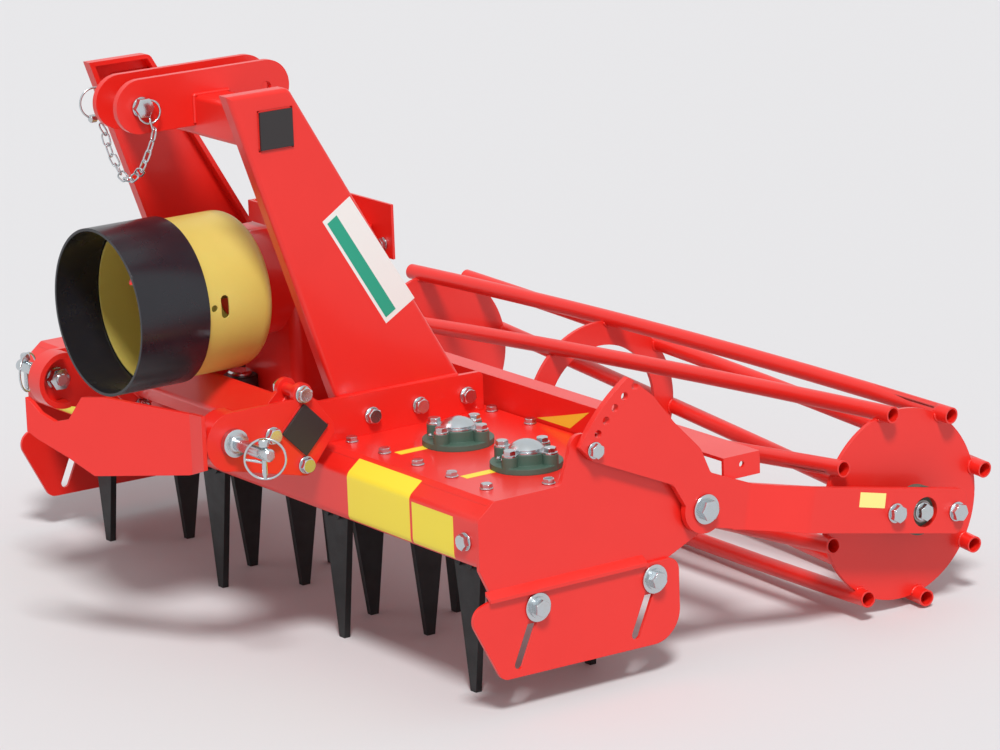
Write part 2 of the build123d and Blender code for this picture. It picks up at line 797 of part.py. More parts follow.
def build_shield_rear():
    outside = shield_radius - shield_front_wall - shield_rear_step - shield_seat_gap
    wall = shield_rear_wall
    bend = shield_rear_bend
    start = shield_seam_y - shield_overlap
    face = outline([
        (start, outside),
        (bell_face_y, outside, bend),
        (bell_face_y, shield_back_hole),
        (bell_face_y - wall, shield_back_hole),
        (bell_face_y - wall, outside - wall, bend - wall),
        (start, outside - wall),
    ])
    gap = half_diagonal + shield_beam_gap
    shield = shaft_ring(face) - diamond(gap, -shield_radius, shield_radius)
    slot_z = pto_z + shield_slot_rise
    slot = Pos(shield_slot_y, slot_z) * Rot(0, 0, 90) * SlotOverall(shield_slot_length, shield_slot_width)
    openings = slot + disc(shield_hole_y, slot_z, shield_hole_radius)
    return shield - plate_yz(openings, -shield_radius, 2 * shield_radius)


def build_gearbox_guard():
    half = guard_width / 2
    low = guard_top_z - guard_height
    rear = block(-half, half, gearbox_rear_y, gearbox_rear_y + guard_sheet, low, guard_top_z)
    strip_low = guard_top_z - guard_strip
    side_x = -guard_side_x
    front = guard_front_y
    side = block(side_x, side_x + guard_sheet, front, gearbox_rear_y + 1, strip_low, guard_top_z)
    nose = block(side_x, guard_side_x, front, front + guard_sheet, strip_low, guard_top_z)
    return rear + side + nose


save("gearbox", build_gearbox())
save("pto_stub", build_pto_stub())
save("shield_front", build_shield_front())
save("shield_rear", build_shield_rear())
save("gearbox_guard", build_gearbox_guard())


# Roller arm: a depth sector in front of the pivot, then a joggle outward to the roller bearing
def arm_point(along, across):
    drop = math.radians(-arm_drop_deg)
    y = arm_pivot_y + along * math.cos(drop) - across * math.sin(drop)
    z = arm_pivot_z + along * math.sin(drop) + across * math.cos(drop)
    return (y, z)


arm_length = math.hypot(roller_y - arm_pivot_y, roller_z - arm_pivot_z)
arm_axis_deg = math.degrees(math.atan2(roller_z - arm_pivot_z, roller_y - arm_pivot_y))


def build_arm():
    outer = sector_circle + sector_margin
    half_width = arm_width / 2
    middle = arm_rise
    edge = [
        arm_point(arm_joggle_start, middle - half_width),
        arm_point(arm_boss_radius / 2, middle - half_width + 4),
        arm_point(-arm_boss_radius * 0.9, 0),
    ]
    edge += [(arm_pivot_y + along, arm_pivot_z + up, radius) for along, up, radius in sector_edge]
    edge.append(arm_point(arm_joggle_start, middle + half_width))
    front_face = outline(edge)
    front_face += disc(arm_pivot_y, arm_pivot_z, arm_boss_radius)
    front_face = front_face & disc(arm_pivot_y, arm_pivot_z, outer)
    front_face -= disc(arm_pivot_y, arm_pivot_z, pivot_hole_radius)
    for index in range(sector_hole_count):
        angle = math.radians(sector_first_deg + sector_step_deg * index)
        hole_y = arm_pivot_y + sector_circle * math.cos(angle)
        hole_z = arm_pivot_z + sector_circle * math.sin(angle)
        front_face -= disc(hole_y, hole_z, sector_hole_radius)
    arm = plate_yz(front_face, arm_inner_x, arm_thickness)
    far_start = arm_joggle_start + arm_joggle_length
    tail_length = arm_length + arm_end - far_start
    x_dir = (0, math.cos(arm_tilt), math.sin(arm_tilt))
    drop = Plane(origin=(0, arm_pivot_y, arm_pivot_z), x_dir=x_dir, z_dir=(1, 0, 0))
    top_plane = Plane(origin=drop.origin + drop.y_dir * middle, x_dir=drop.x_dir, z_dir=drop.y_dir)
    low = arm_inner_x
    high = arm_inner_x + arm_joggle
    strip = outline([
        (arm_joggle_start - 30, -low),
        (arm_joggle_start, -low, 20),
        (far_start, -high, 20),
        (far_start + tail_length, -high),
        (far_start + tail_length, -high - arm_thickness),
        (far_start - 4, -high - arm_thickness, 32),
        (arm_joggle_start - 4, -low - arm_thickness, 32),
        (arm_joggle_start - 30, -low - arm_thickness),
    ])
    tail = extrude(top_plane * strip, half_width, both=True)
    end_face = outline([
        (0, -half_width),
        (far_start + tail_length, -half_width, 18),
        (far_start + tail_length, half_width, 18),
        (0, half_width),
    ])
    end_plane = Plane(origin=drop.origin + drop.y_dir * middle, x_dir=drop.x_dir, z_dir=(1, 0, 0))
    tail = tail & extrude(end_plane * end_face, arm_outer_x + abs(arm_joggle) + arm_thickness)
    shaft_hole = rod_x(high - 1, high + arm_thickness + 1, roller_y, roller_z, roller_shaft_hole)
    return arm + (tail - shaft_hole)


arm_tilt = math.radians(-arm_drop_deg)
both_sides("roller_arm", build_arm())


# Arm pivots: a bolt through end plate and arm, with a spacer between and a washer outside
def build_pivot():
    washer_x = arm_outer_x + face_gap
    head_x = washer_x + pivot_washer_thickness
    shank = rod_x(half_trough - pivot_head_height, head_x, arm_pivot_y, arm_pivot_z, pivot_pin_radius)
    nut = rod_x(half_trough - pivot_head_height, half_trough, arm_pivot_y, arm_pivot_z, pivot_head_radius)
    spacer = rod_x(end_plate_x, arm_inner_x - face_gap, arm_pivot_y, arm_pivot_z, pivot_washer_radius)
    washer = rod_x(washer_x, head_x, arm_pivot_y, arm_pivot_z, pivot_washer_radius)
    head = rod_x(head_x, head_x + pivot_head_height, arm_pivot_y, arm_pivot_z, pivot_head_radius)
    return shank + nut + spacer + washer + head


both_sides("arm_pivot", build_pivot())


# Cross beam: a folded channel that ties the arms behind the rear panel
def build_cross_beam():
    half = cross_beam_width / 2
    inner_x = arm_inner_x
    top = block(-inner_x, inner_x, cross_beam_y - half, cross_beam_y + half, cross_beam_z - cross_beam_sheet, cross_beam_z)
    beam = top
    for side in (-1, 1):
        lip_x = inner_x - cross_beam_sheet if side > 0 else -inner_x
        lip = block(
            lip_x, lip_x + cross_beam_sheet,
            cross_beam_y - half, cross_beam_y + half,
            cross_beam_z - cross_beam_lip, cross_beam_z,
        )
        beam += lip
    hole_z = cross_beam_z - cross_beam_hole_drop
    return beam - rod_x(-inner_x - 1, inner_x + 1, cross_beam_y, hole_z, cross_beam_hole_radius)


save("roller_cross_beam", build_cross_beam())


def build_roller_bearing(side):
    inner = arm_inner_x + arm_joggle - roller_bearing_depth
    outer = arm_inner_x + arm_joggle
    base_length = roller_bearing_spacing + roller_bearing_flange
    base_slot = SlotOverall(base_length, roller_bearing_flange + roller_shaft_radius)
    base_face = Pos(roller_y, roller_z) * Rot(0, 0, arm_axis_deg) * base_slot
    base = plate_yz(base_face, outer - roller_bearing_sheet, roller_bearing_sheet)
    body = rod_x(inner, outer - 1, roller_y, roller_z, roller_bearing_radius)
    bearing = base + body - rod_x(inner - 1, outer + 1, roller_y, roller_z, roller_shaft_radius + running_clearance)
    return bearing if side > 0 else mirror(bearing, about=Plane.YZ)


save("roller_bearings", Compound(children=[build_roller_bearing(side) for side in (-1, 1)]))


def roller_point(x, degrees):
    """A point on the tubes' circle, the angle taken from the top toward the rear."""
    angle = math.radians(degrees)
    y = roller_y + roller_tube_circle * math.sin(angle)
    return (x, y, roller_z + roller_tube_circle * math.cos(angle))


# Cage roller: twisted tubes on two end discs and one ring, with a stub shaft at each end
def build_roller_cage():
    disc_x = roller_half_length - roller_disc_inset
    parts = []
    for x_low in (-disc_x, disc_x - roller_disc_thickness):
        parts.append(rod_x(x_low, x_low + roller_disc_thickness, roller_y, roller_z, roller_disc_radius))
    ring = rod_x(roller_ring_x, roller_ring_x + roller_disc_thickness, roller_y, roller_z, roller_disc_radius)
    ring -= rod_x(roller_ring_x - 1, roller_ring_x + roller_disc_thickness + 1, roller_y, roller_z, roller_ring_hole)
    parts.append(ring)
    rods = []
    bores = []
    for index in range(roller_tube_count):
        start_deg = roller_tube_phase_deg + 360 / roller_tube_count * index
        line = ThreePointArc(
            roller_point(roller_half_length, start_deg),
            roller_point(0, start_deg + roller_twist_deg / 2),
            roller_point(-roller_half_length, start_deg + roller_twist_deg),
        )
        section = Plane(origin=line @ 0, z_dir=line % 0)
        rods.append(sweep(section * Circle(roller_tube_radius), path=line))
        bores.append(sweep(section * Circle(roller_tube_radius - roller_tube_wall), path=line))
    cage = parts[0] + parts[1] + parts[2]
    for rod in rods:
        cage += rod
    for bore in bores:
        cage -= bore
    return cage


def build_roller_stubs():
    disc_x = roller_half_length - roller_disc_inset
    stubs = []
    outer = arm_inner_x + arm_joggle + 4
    for side in (-1, 1):
        low = disc_x if side > 0 else -outer
        high = outer if side > 0 else -disc_x
        stubs.append(rod_x(low, high, roller_y, roller_z, roller_shaft_radius))
    return Compound(children=stubs)


save("roller_cage", build_roller_cage())
save("roller_stubs", build_roller_stubs())
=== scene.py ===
import math

import bmesh
import bpy
from mathutils import Matrix, Vector


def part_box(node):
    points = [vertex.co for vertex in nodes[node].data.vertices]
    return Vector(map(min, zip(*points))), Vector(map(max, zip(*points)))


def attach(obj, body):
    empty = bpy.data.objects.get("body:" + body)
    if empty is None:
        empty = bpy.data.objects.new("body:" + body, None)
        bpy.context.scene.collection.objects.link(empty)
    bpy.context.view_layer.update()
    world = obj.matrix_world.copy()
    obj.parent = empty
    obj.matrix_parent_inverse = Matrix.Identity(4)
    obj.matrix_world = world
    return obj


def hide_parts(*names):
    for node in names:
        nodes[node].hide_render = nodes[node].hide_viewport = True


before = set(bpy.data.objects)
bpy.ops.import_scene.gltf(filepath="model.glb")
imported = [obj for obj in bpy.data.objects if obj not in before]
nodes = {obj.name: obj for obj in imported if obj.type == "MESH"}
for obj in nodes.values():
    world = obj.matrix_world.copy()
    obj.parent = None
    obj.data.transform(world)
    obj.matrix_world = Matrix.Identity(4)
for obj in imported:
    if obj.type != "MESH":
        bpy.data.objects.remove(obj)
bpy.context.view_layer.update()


# Sheet metal: trough, cover, end plates, mast, hitch, gearbox, roller frame and roller cage
# Cut and welded steel, degreased and powder-coated in one signal red, baked to a smooth gloss with the
# faint orange peel of thick powder. The coat draws back a little at cut edges, which reads as a soft rim.


def linear(code):
    """The linear colour of an sRGB hex value."""
    values = [int(code[i : i + 2], 16) / 255 for i in (1, 3, 5)]
    return tuple(v / 12.92 if v <= 0.04045 else ((v + 0.055) / 1.055) ** 2.4 for v in values) + (1.0,)


def add_node(tree, kind, settings=None, **inputs):
    """A new node with its settings, and its inputs set to values or linked to other nodes' outputs.

    An input goes by its name, or by its place as i0, i1 and so on.
    """
    node = tree.nodes.new(kind)
    for name, value in (settings or {}).items():
        setattr(node, name, value)
    for name, value in inputs.items():
        key = int(name[1:]) if name[0] == "i" and name[1:].isdigit() else name.replace("_", " ")
        socket = node.inputs[key]
        if isinstance(value, bpy.types.NodeSocket):
            tree.links.new(value, socket)
        else:
            socket.default_value = value
    return node


def new_material(name):
    """An empty node material and the tree that it is drawn with."""
    material = bpy.data.materials.new(name)
    material.use_nodes = True
    material.node_tree.nodes.clear()
    return material, material.node_tree


def dress(names, material):
    """Gives CAD nodes a finish in place of their plain one."""
    for name in names:
        mesh = nodes[name].data
        mesh.materials.clear()
        mesh.materials.append(material)


def blotches(tree, per_metre, colour, shade, detail=4.0):
    """The place, a slow noise over the piece, and a colour that drifts with it between two tones."""
    place = add_node(tree, "ShaderNodeTexCoord").outputs["Object"]
    noise = add_node(tree, "ShaderNodeTexNoise", Vector=place, Scale=per_metre, Detail=detail, Roughness=0.6)
    drift = noise.outputs["Fac"]
    mix = add_node(
        tree, "ShaderNodeMix", {"data_type": "RGBA"}, Factor=drift, i6=linear(colour), i7=linear(shade)
    )
    return place, drift, mix.outputs[2]


def grained(tree, place, edge_radius, per_metre, detail, strength, depth):
    """The normal of a surface with eased edges and a fine relief in it."""
    relief = add_node(tree, "ShaderNodeTexNoise", Vector=place, Scale=per_metre, Detail=detail)
    edge = add_node(tree, "ShaderNodeBevel", {"samples": 4}, Radius=edge_radius)
    bump = add_node(
        tree, "ShaderNodeBump", Height=relief.outputs["Fac"], Strength=strength, Distance=depth,
        Normal=edge.outputs["Normal"],
    )
    return bump.outputs["Normal"]


def powder_coat(name, colour, shade, rough):
    """Powder coat: orange peel about 3 mm across, rounded edges and a faint change of tone."""
    material, tree = new_material(name)
    place, drift, tone = blotches(tree, 6.0, colour, shade)
    sheen = add_node(tree, "ShaderNodeMapRange", Value=drift, To_Min=rough - 0.05, To_Max=rough + 0.08)
    shader = add_node(
        tree, "ShaderNodeBsdfPrincipled", Base_Color=tone, Roughness=sheen.outputs["Result"],
        Normal=grained(tree, place, 0.0012, 330.0, 1.0, 0.06, 0.0006), IOR=1.5, Coat_Weight=0.25,
        Coat_Roughness=0.12,
    )
    add_node(tree, "ShaderNodeOutputMaterial", Surface=shader.outputs["BSDF"])
    return material


red_coat = powder_coat("signal_red_powder_coat", "#EA261B", "#E02118", 0.36)
dress(
    [
        "trough", "trough_cover", "end_plate_left", "end_plate_right", "side_deflector_left",
        "side_deflector_right", "rear_panel", "mast_leg_left", "mast_leg_right", "mast_foot_plate_left",
        "mast_foot_plate_right", "mast_cross_tube", "top_link_plate_left", "top_link_plate_right",
        "gearbox", "gearbox_guard", "lower_hitch_beam", "hitch_bracket_left", "hitch_bracket_right",
        "shaft_rest", "roller_arm_left", "roller_arm_right", "roller_cross_beam", "roller_cage",
    ],
    red_coat,
)


# Weld beads on the mast, the hitch and the roller
# Fillet welds laid by hand over the joints and painted with the rest, in small overlapping scales that
# catch the light as a ribbed line. From here on sizes and places are in millimetres, and what a
# material's nodes are given is in metres.
mm = 0.001
sides = (-1, 1)
rotor_row_y = sum(corner.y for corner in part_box("rotor_1_holder")) / 2
weld_scale = 4.2
weld_step = 1.4
weld_bar_sides = 7
# A bead's radius in shares of its size: at the foot of a scale, its rise over the scale, and at the ends.
weld_low, weld_rise, weld_end = 0.86, 0.2, 0.45
past_corner = 0.03
weld_sharp_deg = 60.0


def at(x, y, z):
    """A place in millimetres from the ground under the rotor row, as metres in the frame."""
    return Vector((x * mm, y * mm + rotor_row_y, z * mm))


def ride_in_finish(piece, body):
    """Sets a piece on its body."""
    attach(piece, body)


def finish_mesh(name, shape, material, body, sharp_deg=32.0):
    """One piece from a bmesh: smooth between its sharp edges, in its finish, riding on its body."""
    mesh = bpy.data.meshes.new(name)
    bmesh.ops.recalc_face_normals(shape, faces=shape.faces)
    shape.to_mesh(mesh)
    shape.free()
    mesh.materials.append(material)
    mesh.shade_smooth()
    mesh.set_sharp_from_angle(angle=math.radians(sharp_deg))
    piece = bpy.data.objects.new(name, mesh)
    bpy.context.scene.collection.objects.link(piece)
    if body:
        ride_in_finish(piece, body)
    return piece


def join_rings(shape, low, high):
    """A band of faces between two rings with as many points."""
    for step in range(len(low)):
        following = (step + 1) % len(low)
        shape.faces.new((low[step], low[following], high[following], high[step]))


def join_all(shape, rings):
    """A skin over a row of rings, closed at both ends."""
    for low, high in zip(rings, rings[1:]):
        join_rings(shape, low, high)
    shape.faces.new(list(reversed(rings[0])))
    shape.faces.new(rings[-1])


def sweep(shape, path, radii, bar_sides=8, closed=False):
    """A round bar along a path, with one radius at each point."""
    rings = []
    across = None
    count = len(path)
    for index, point in enumerate(path):
        ahead = path[(index + 1) % count] if closed or index + 1 < count else point
        behind = path[index - 1] if closed or index > 0 else point
        along = (ahead - behind).normalized()
        if across is None:
            across = along.orthogonal().normalized()
        across = (across - along * across.dot(along)).normalized()
        other = along.cross(across)
        ring = []
        for step in range(bar_sides):
            angle = math.tau * step / bar_sides
            reach = across * math.cos(angle) + other * math.sin(angle)
            ring.append(shape.verts.new(point + reach * radii[index]))
        rings.append(ring)
    if not closed:
        join_all(shape, rings)
        return
    nearest = min(range(bar_sides), key=lambda k: (rings[-1][0].co - rings[0][k].co).length)
    for low, high in zip(rings, rings[1:] + [rings[0][nearest:] + rings[0][:nearest]]):
        join_rings(shape, low, high)


def even_steps(points, step):
    """Points at even steps along a line of straight pieces."""
    places = []
    for low, high in zip(points, points[1:]):
        count = max(1, round((high - low).length / step))
        places += [low.lerp(high, index / count) for index in range(count)]
    return places + [points[-1]]


def add_weld(shape, points, size=3.4):
    """A bead of overlapping scales along a line, thin at its ends."""
    path = even_steps([at(*point) for point in points], weld_step * mm)
    phase = weld_step / weld_scale
    radii = [size * mm * (weld_low + weld_rise * ((index * phase) % 1.0)) for index in range(len(path))]
    radii[0] = radii[-1] = size * mm * weld_end
    sweep(shape, path, radii, weld_bar_sides)


def weld_round(shape, x, corners):
    """One bead on each side of a square tube that runs across X, each a little past its corners."""
    for low, high in zip(corners, corners[1:]):
        past_y, past_z = ((far - near) * past_corner for near, far in zip(low, high))
        start, end = (x, low[0] - past_y, low[1] - past_z), (x, high[0] + past_y, high[1] + past_z)
        add_weld(shape, [start, end])


def corners_round(y, z, half, turns):
    """The corners of a tube's section about its centre, with the first once more at the end."""
    return [(y + half * turn_y, z + half * turn_z) for turn_y, turn_z in turns]


flat_square = ((-1, -1), (1, -1), (1, 1), (-1, 1), (-1, -1))
square_on_edge = ((0, -1), (1, 0), (0, 1), (-1, 0), (0, -1))
cross_tube_corners = corners_round(-238.0, 930.0, 35.5, flat_square)
hitch_beam_corners = corners_round(-247.0, 421.0, 49.5, square_on_edge)
mast_leg_inside = 230.5
hitch_bracket_faces = (239.2, 250.8, 289.2)
foot_x, foot_z, foot_bead = 241.0, 443.0, 4.2
foot_front, foot_rear = -134.0, 113.0
link_plate_faces = (40.8, 27.2)
link_top, link_front, link_bead = 965.8, -273.8, 3.8

harrow_welds = bmesh.new()
for side in sides:
    add_weld(harrow_welds, [(side * foot_x, y, foot_z) for y in (foot_front, foot_rear)], foot_bead)
    weld_round(harrow_welds, side * mast_leg_inside, cross_tube_corners)
    for x in link_plate_faces:
        add_weld(harrow_welds, [(side * x, y, link_top) for y in (-202, -275.5)], link_bead)
        add_weld(harrow_welds, [(side * x, link_front, z) for z in (967.5, 917)], link_bead)
    for x in hitch_bracket_faces:
        weld_round(harrow_welds, side * x, hitch_beam_corners)
# The shaft rest's two beads: x, y, lower end, upper end and size.
for x, y, low_z, high_z, size in ((289.2, -440.2, 408, 442, 4.0), (261, -440.4, 406, 444, 3.4)):
    add_weld(harrow_welds, [(x, y, low_z), (x, y, high_z)], size)
finish_mesh("welds_on_the_frame", harrow_welds, red_coat, "harrow", weld_sharp_deg)

roller_y = 714.0
roller_z = 192.0
tube_circle = 177.0
tube_radius = 15.0
tube_count = 8
tube_phase_deg = -11.6
tube_twist_deg = -42.0
roller_half = 746.0
cage_disc_faces = (-720.6, -711.4, 711.4, 720.6, -164.6, -155.4)
cage_bead_half_deg = 62
cage_bead_points = 14


def tube_centre(index, x):
    """Where a bent tube of the cage crosses the plane at x: an arc through its two ends and its middle."""
    places = []
    for share, place_x in ((0.0, roller_half), (0.5, 0.0), (1.0, -roller_half)):
        angle = math.radians(tube_phase_deg + 360 / tube_count * index + tube_twist_deg * share)
        y = roller_y + tube_circle * math.sin(angle)
        places.append(Vector((place_x, y, roller_z + tube_circle * math.cos(angle))))
    chord_mid = (places[0] + places[2]) / 2
    bow = places[1] - chord_mid
    half_chord = (places[0] - places[2]).length / 2
    radius = (half_chord**2 + bow.length**2) / (2 * bow.length)
    share = x / roller_half
    along = abs(share) * half_chord
    drop = radius - math.sqrt(radius**2 - along**2)
    centre = chord_mid + (places[0] - places[2]) / 2 * share + bow.normalized() * (bow.length - drop)
    return centre.y, centre.z


roller_welds = bmesh.new()
for index in range(tube_count):
    for x in cage_disc_faces:
        y, z = tube_centre(index, x)
        facing_deg = math.degrees(math.atan2(roller_z - z, roller_y - y))
        arc = []
        for step in range(cage_bead_points + 1):
            turned_deg = 2 * cage_bead_half_deg * step / cage_bead_points
            angle = math.radians(facing_deg - cage_bead_half_deg + turned_deg)
            reach = tube_radius + 0.6
            arc.append((x, y + reach * math.cos(angle), z + reach * math.sin(angle)))
        add_weld(roller_welds, arc, 3.0)
finish_mesh("welds_on_the_roller", roller_welds, red_coat, "roller", weld_sharp_deg)

arm_inside = 744
arm_welds = bmesh.new()
for side in sides:
    add_weld(arm_welds, [(side * arm_inside, y, 316.4) for y in (306, 327)])
    add_weld(arm_welds, [(side * arm_inside, 303.8, z) for z in (319, 326)])
finish_mesh("welds_on_the_arms", arm_welds, red_coat, "roller_frame", weld_sharp_deg)


# Bolts, washers and nuts
# Rolled steel, zinc-plated and clear-passivated: a bright silver with a slight blue and straw cast, and a
# dull bloom in the hollows. The blue is partly the plate's own cast and partly a painted reflection of the
# sky. Each head is turned as the wrench left it.
bolt_seed = 17
bolt_flats = 19.0
bolt_head = 7.8
bolt_dish = 0.5
washer_radius = 12.0
wide_washer_radius = 18.0
washer_sheet = 2.5
wide_washer_sheet = washer_sheet + 0.5
lock_ring_radius = 13.0
lock_ring_top = 5.6
nut_top = washer_sheet + 10.0
stud_top = washer_sheet + 15.6
stud_radius = 6.0
thread_root = 5.4
thread_step = 0.6
thread_rows = 9


def plated(name, colour, shade, rough):
    """Zinc plate: bright metal with small cloudy patches and rounded edges."""
    material, tree = new_material(name)
    place, drift, tone = blotches(tree, 55.0, colour, shade)
    sheen = add_node(tree, "ShaderNodeMapRange", Value=drift, To_Min=rough - 0.06, To_Max=rough + 0.14)
    shader = add_node(
        tree, "ShaderNodeBsdfPrincipled", Base_Color=tone, Metallic=1.0,
        Roughness=sheen.outputs["Result"], Normal=grained(tree, place, 0.0005, 900.0, 2.0, 0.08, 0.0003),
    )
    add_node(tree, "ShaderNodeOutputMaterial", Surface=shader.outputs["BSDF"])
    return material


# The first colour's blue is partly the plate's own cast and partly a painted reflection of the sky.
zinc = plated("clear_zinc_plate", "#CBD6E0", "#C6C8C4", 0.2)


def frame_along(origin, aim):
    """A turn and place that carries +Z onto the aim, starting at the origin."""
    turn = Vector((0, 0, 1)).rotation_difference(Vector(aim).normalized()).to_matrix().to_4x4()
    return Matrix.Translation(origin) @ turn


def spot_on_circle(radius, step, count, height):
    """One of a circle's evenly spaced places about Z, from millimetres."""
    angle = math.tau * step / count
    return Vector((radius * math.cos(angle) * mm, radius * math.sin(angle) * mm, height * mm))


def lathe(shape, profile, place, segments=40):
    """A turned shape: rows are (radius, height) in millimetres. Ends that are left open are closed."""
    rings = []
    for radius, height in profile:
        count = segments if radius > 0 else 1
        spots = [spot_on_circle(radius, step, count, height) for step in range(count)]
        rings.append([shape.verts.new(place @ spot) for spot in spots])
    for low, high in zip(rings, rings[1:]):
        for step in range(segments):
            following = (step + 1) % segments
            corners = [low[step % len(low)], low[following % len(low)]]
            corners += [high[following % len(high)], high[step % len(high)]]
            unique = list(dict.fromkeys(corners))
            if len(unique) > 2:
                shape.faces.new(unique)
    for ring, flip in ((rings[0], True), (rings[-1], False)):
        if len(ring) > 1:
            shape.faces.new(list(reversed(ring)) if flip else ring)


def hexagon(shape, flats, low, high, place, dish=0.0):
    """A hexagon with its corners chamfered at 30 degrees, and a shallow dish in its face."""
    segments = 48
    half = flats / 2
    crown = half * 0.94
    bottom, top, inner = [], [], []
    for step in range(segments):
        angle = math.tau * step / segments
        reach = half / math.cos((angle + math.pi / 6) % (math.pi / 3) - math.pi / 6)
        drop = (reach - crown) * math.tan(math.radians(30))
        for row, radius, height in ((bottom, reach, low), (top, reach, high - drop), (inner, crown, high)):
            row.append(shape.verts.new(place @ spot_on_circle(radius, step, segments, height)))
    centre = shape.verts.new(place @ Vector((0, 0, (high - dish) * mm)))
    join_rings(shape, bottom, top)
    join_rings(shape, top, inner)
    for step in range(segments):
        shape.faces.new((inner[step], inner[(step + 1) % segments], centre))
    shape.faces.new(list(reversed(bottom)))


def disc(radius, low, high):
    """The profile of a plain disc or bar between two heights."""
    return [(0, low), (radius, low), (radius, high), (0, high)]


def washer(radius, sheet):
    """The profile of a pressed washer with eased edges."""
    rim = [(radius - 0.4, 0), (radius, 0.4), (radius, sheet - 0.5), (radius - 0.6, sheet)]
    return [(0, 0)] + rim + [(0, sheet)]


def part_object(name, shape):
    """A part that Geometry Nodes repeat."""
    return finish_mesh(name, shape, zinc, None)


start = Matrix.Identity(4)
shape = bmesh.new()
lathe(shape, washer(washer_radius, washer_sheet), start)
hexagon(shape, bolt_flats, washer_sheet, washer_sheet + bolt_head, start, bolt_dish)
hex_bolt = part_object("hex_bolt", shape)

shape = bmesh.new()
lathe(shape, washer(wide_washer_radius, wide_washer_sheet), start)
lathe(shape, disc(lock_ring_radius, wide_washer_sheet, lock_ring_top), start)
hexagon(shape, bolt_flats, lock_ring_top, lock_ring_top + bolt_head, start, bolt_dish)
wide_bolt = part_object("wide_washer_bolt", shape)

shape = bmesh.new()
lathe(shape, washer(washer_radius, washer_sheet), start)
hexagon(shape, bolt_flats, washer_sheet, nut_top, start)
thread = []
for row in range(thread_rows):
    thread.append((stud_radius if row % 2 else thread_root, nut_top + row * thread_step))
stud_end = [(4.6, stud_top), (0, stud_top)]
lathe(shape, [(stud_radius, nut_top - 2.0)] + thread + stud_end, start, 24)
stud_nut = part_object("nut_on_stud", shape)


def repeat_tree():
    """Geometry nodes: one part on every point, along the point's aim, turned by the point and by chance."""
    tree = bpy.data.node_groups.new("part_on_every_point", "GeometryNodeTree")
    for name, kind in (
        ("Geometry", "NodeSocketGeometry"), ("Part", "NodeSocketObject"), ("Finish", "NodeSocketMaterial"),
        ("Spin", "NodeSocketFloat"), ("Seed", "NodeSocketInt"),
    ):
        tree.interface.new_socket(name, in_out="INPUT", socket_type=kind)
    tree.interface.new_socket("Geometry", in_out="OUTPUT", socket_type="NodeSocketGeometry")
    given = add_node(tree, "NodeGroupInput").outputs
    part = add_node(tree, "GeometryNodeObjectInfo", Object=given["Part"])
    aim = add_node(tree, "GeometryNodeInputNamedAttribute", {"data_type": "FLOAT_VECTOR"}, Name="aim")
    size = add_node(tree, "GeometryNodeInputNamedAttribute", {"data_type": "FLOAT"}, Name="size")
    turn = add_node(tree, "GeometryNodeInputNamedAttribute", {"data_type": "FLOAT"}, Name="turn")
    chance = add_node(
        tree, "FunctionNodeRandomValue", {"data_type": "FLOAT"}, i2=0.0, i3=given["Spin"], Seed=given["Seed"]
    )
    angle = add_node(
        tree, "ShaderNodeMath", {"operation": "ADD"}, i0=turn.outputs["Attribute"], i1=chance.outputs[1]
    )
    aligned = add_node(
        tree, "FunctionNodeAlignRotationToVector", {"axis": "Z"}, Vector=aim.outputs["Attribute"]
    )
    spun = add_node(
        tree, "FunctionNodeAxisAngleToRotation", Axis=(0.0, 0.0, 1.0), Angle=angle.outputs["Value"]
    )
    rotation = add_node(
        tree, "FunctionNodeRotateRotation", {"rotation_space": "LOCAL"},
        Rotation=aligned.outputs["Rotation"], Rotate_By=spun.outputs["Rotation"],
    )
    placed = add_node(
        tree, "GeometryNodeInstanceOnPoints", Points=given["Geometry"], Instance=part.outputs["Geometry"],
        Rotation=rotation.outputs["Rotation"], Scale=size.outputs["Attribute"],
    )
    real = add_node(tree, "GeometryNodeRealizeInstances", Geometry=placed.outputs["Instances"])
    painted = add_node(
        tree, "GeometryNodeSetMaterial", Geometry=real.outputs["Geometry"], Material=given["Finish"]
    )
    add_node(tree, "NodeGroupOutput", Geometry=painted.outputs["Geometry"])
    return tree


part_on_points = repeat_tree()


def set_out(name, part, rows, material, body, spin=math.tau):
    """One piece from a part set on every row: (place, aim, size, turn), the place in metres."""
    points = bpy.data.meshes.new(name + "_points")
    points.from_pydata([row[0] for row in rows], [], [])
    values = (("aim", "FLOAT_VECTOR", 1), ("size", "FLOAT", 2), ("turn", "FLOAT", 3))
    for attribute, kind, column in values:
        layer = points.attributes.new(attribute, kind, "POINT")
        for item, row in zip(layer.data, rows):
            if kind == "FLOAT":
                item.value = row[column]
            else:
                item.vector = row[column]
    carrier = bpy.data.objects.new(name + "_points", points)
    bpy.context.scene.collection.objects.link(carrier)
    modifier = carrier.modifiers.new("repeat", "NODES")
    modifier.node_group = part_on_points
    given = {"Part": part, "Finish": material, "Spin": spin, "Seed": bolt_seed}
    for item in part_on_points.interface.items_tree:
        if item.in_out == "INPUT" and item.name in given:
            modifier[item.identifier] = given[item.name]
    carrier.update_tag()
    graph = bpy.context.evaluated_depsgraph_get()
    mesh = bpy.data.meshes.new_from_object(carrier.evaluated_get(graph))
    mesh.name = name
    bpy.data.objects.remove(carrier)
    piece = bpy.data.objects.new(name, mesh)
    bpy.context.scene.collection.objects.link(piece)
    ride_in_finish(piece, body)


def both_ends(rows):
    """Rows (x, y, z, aim, size) of the right-hand end, and their mirror image."""
    placed = []
    for x, y, z, aim, size in rows:
        for side in sides:
            placed.append((at(side * x, y, z), (side * aim[0], aim[1], aim[2]), size, 0.0))
    return placed


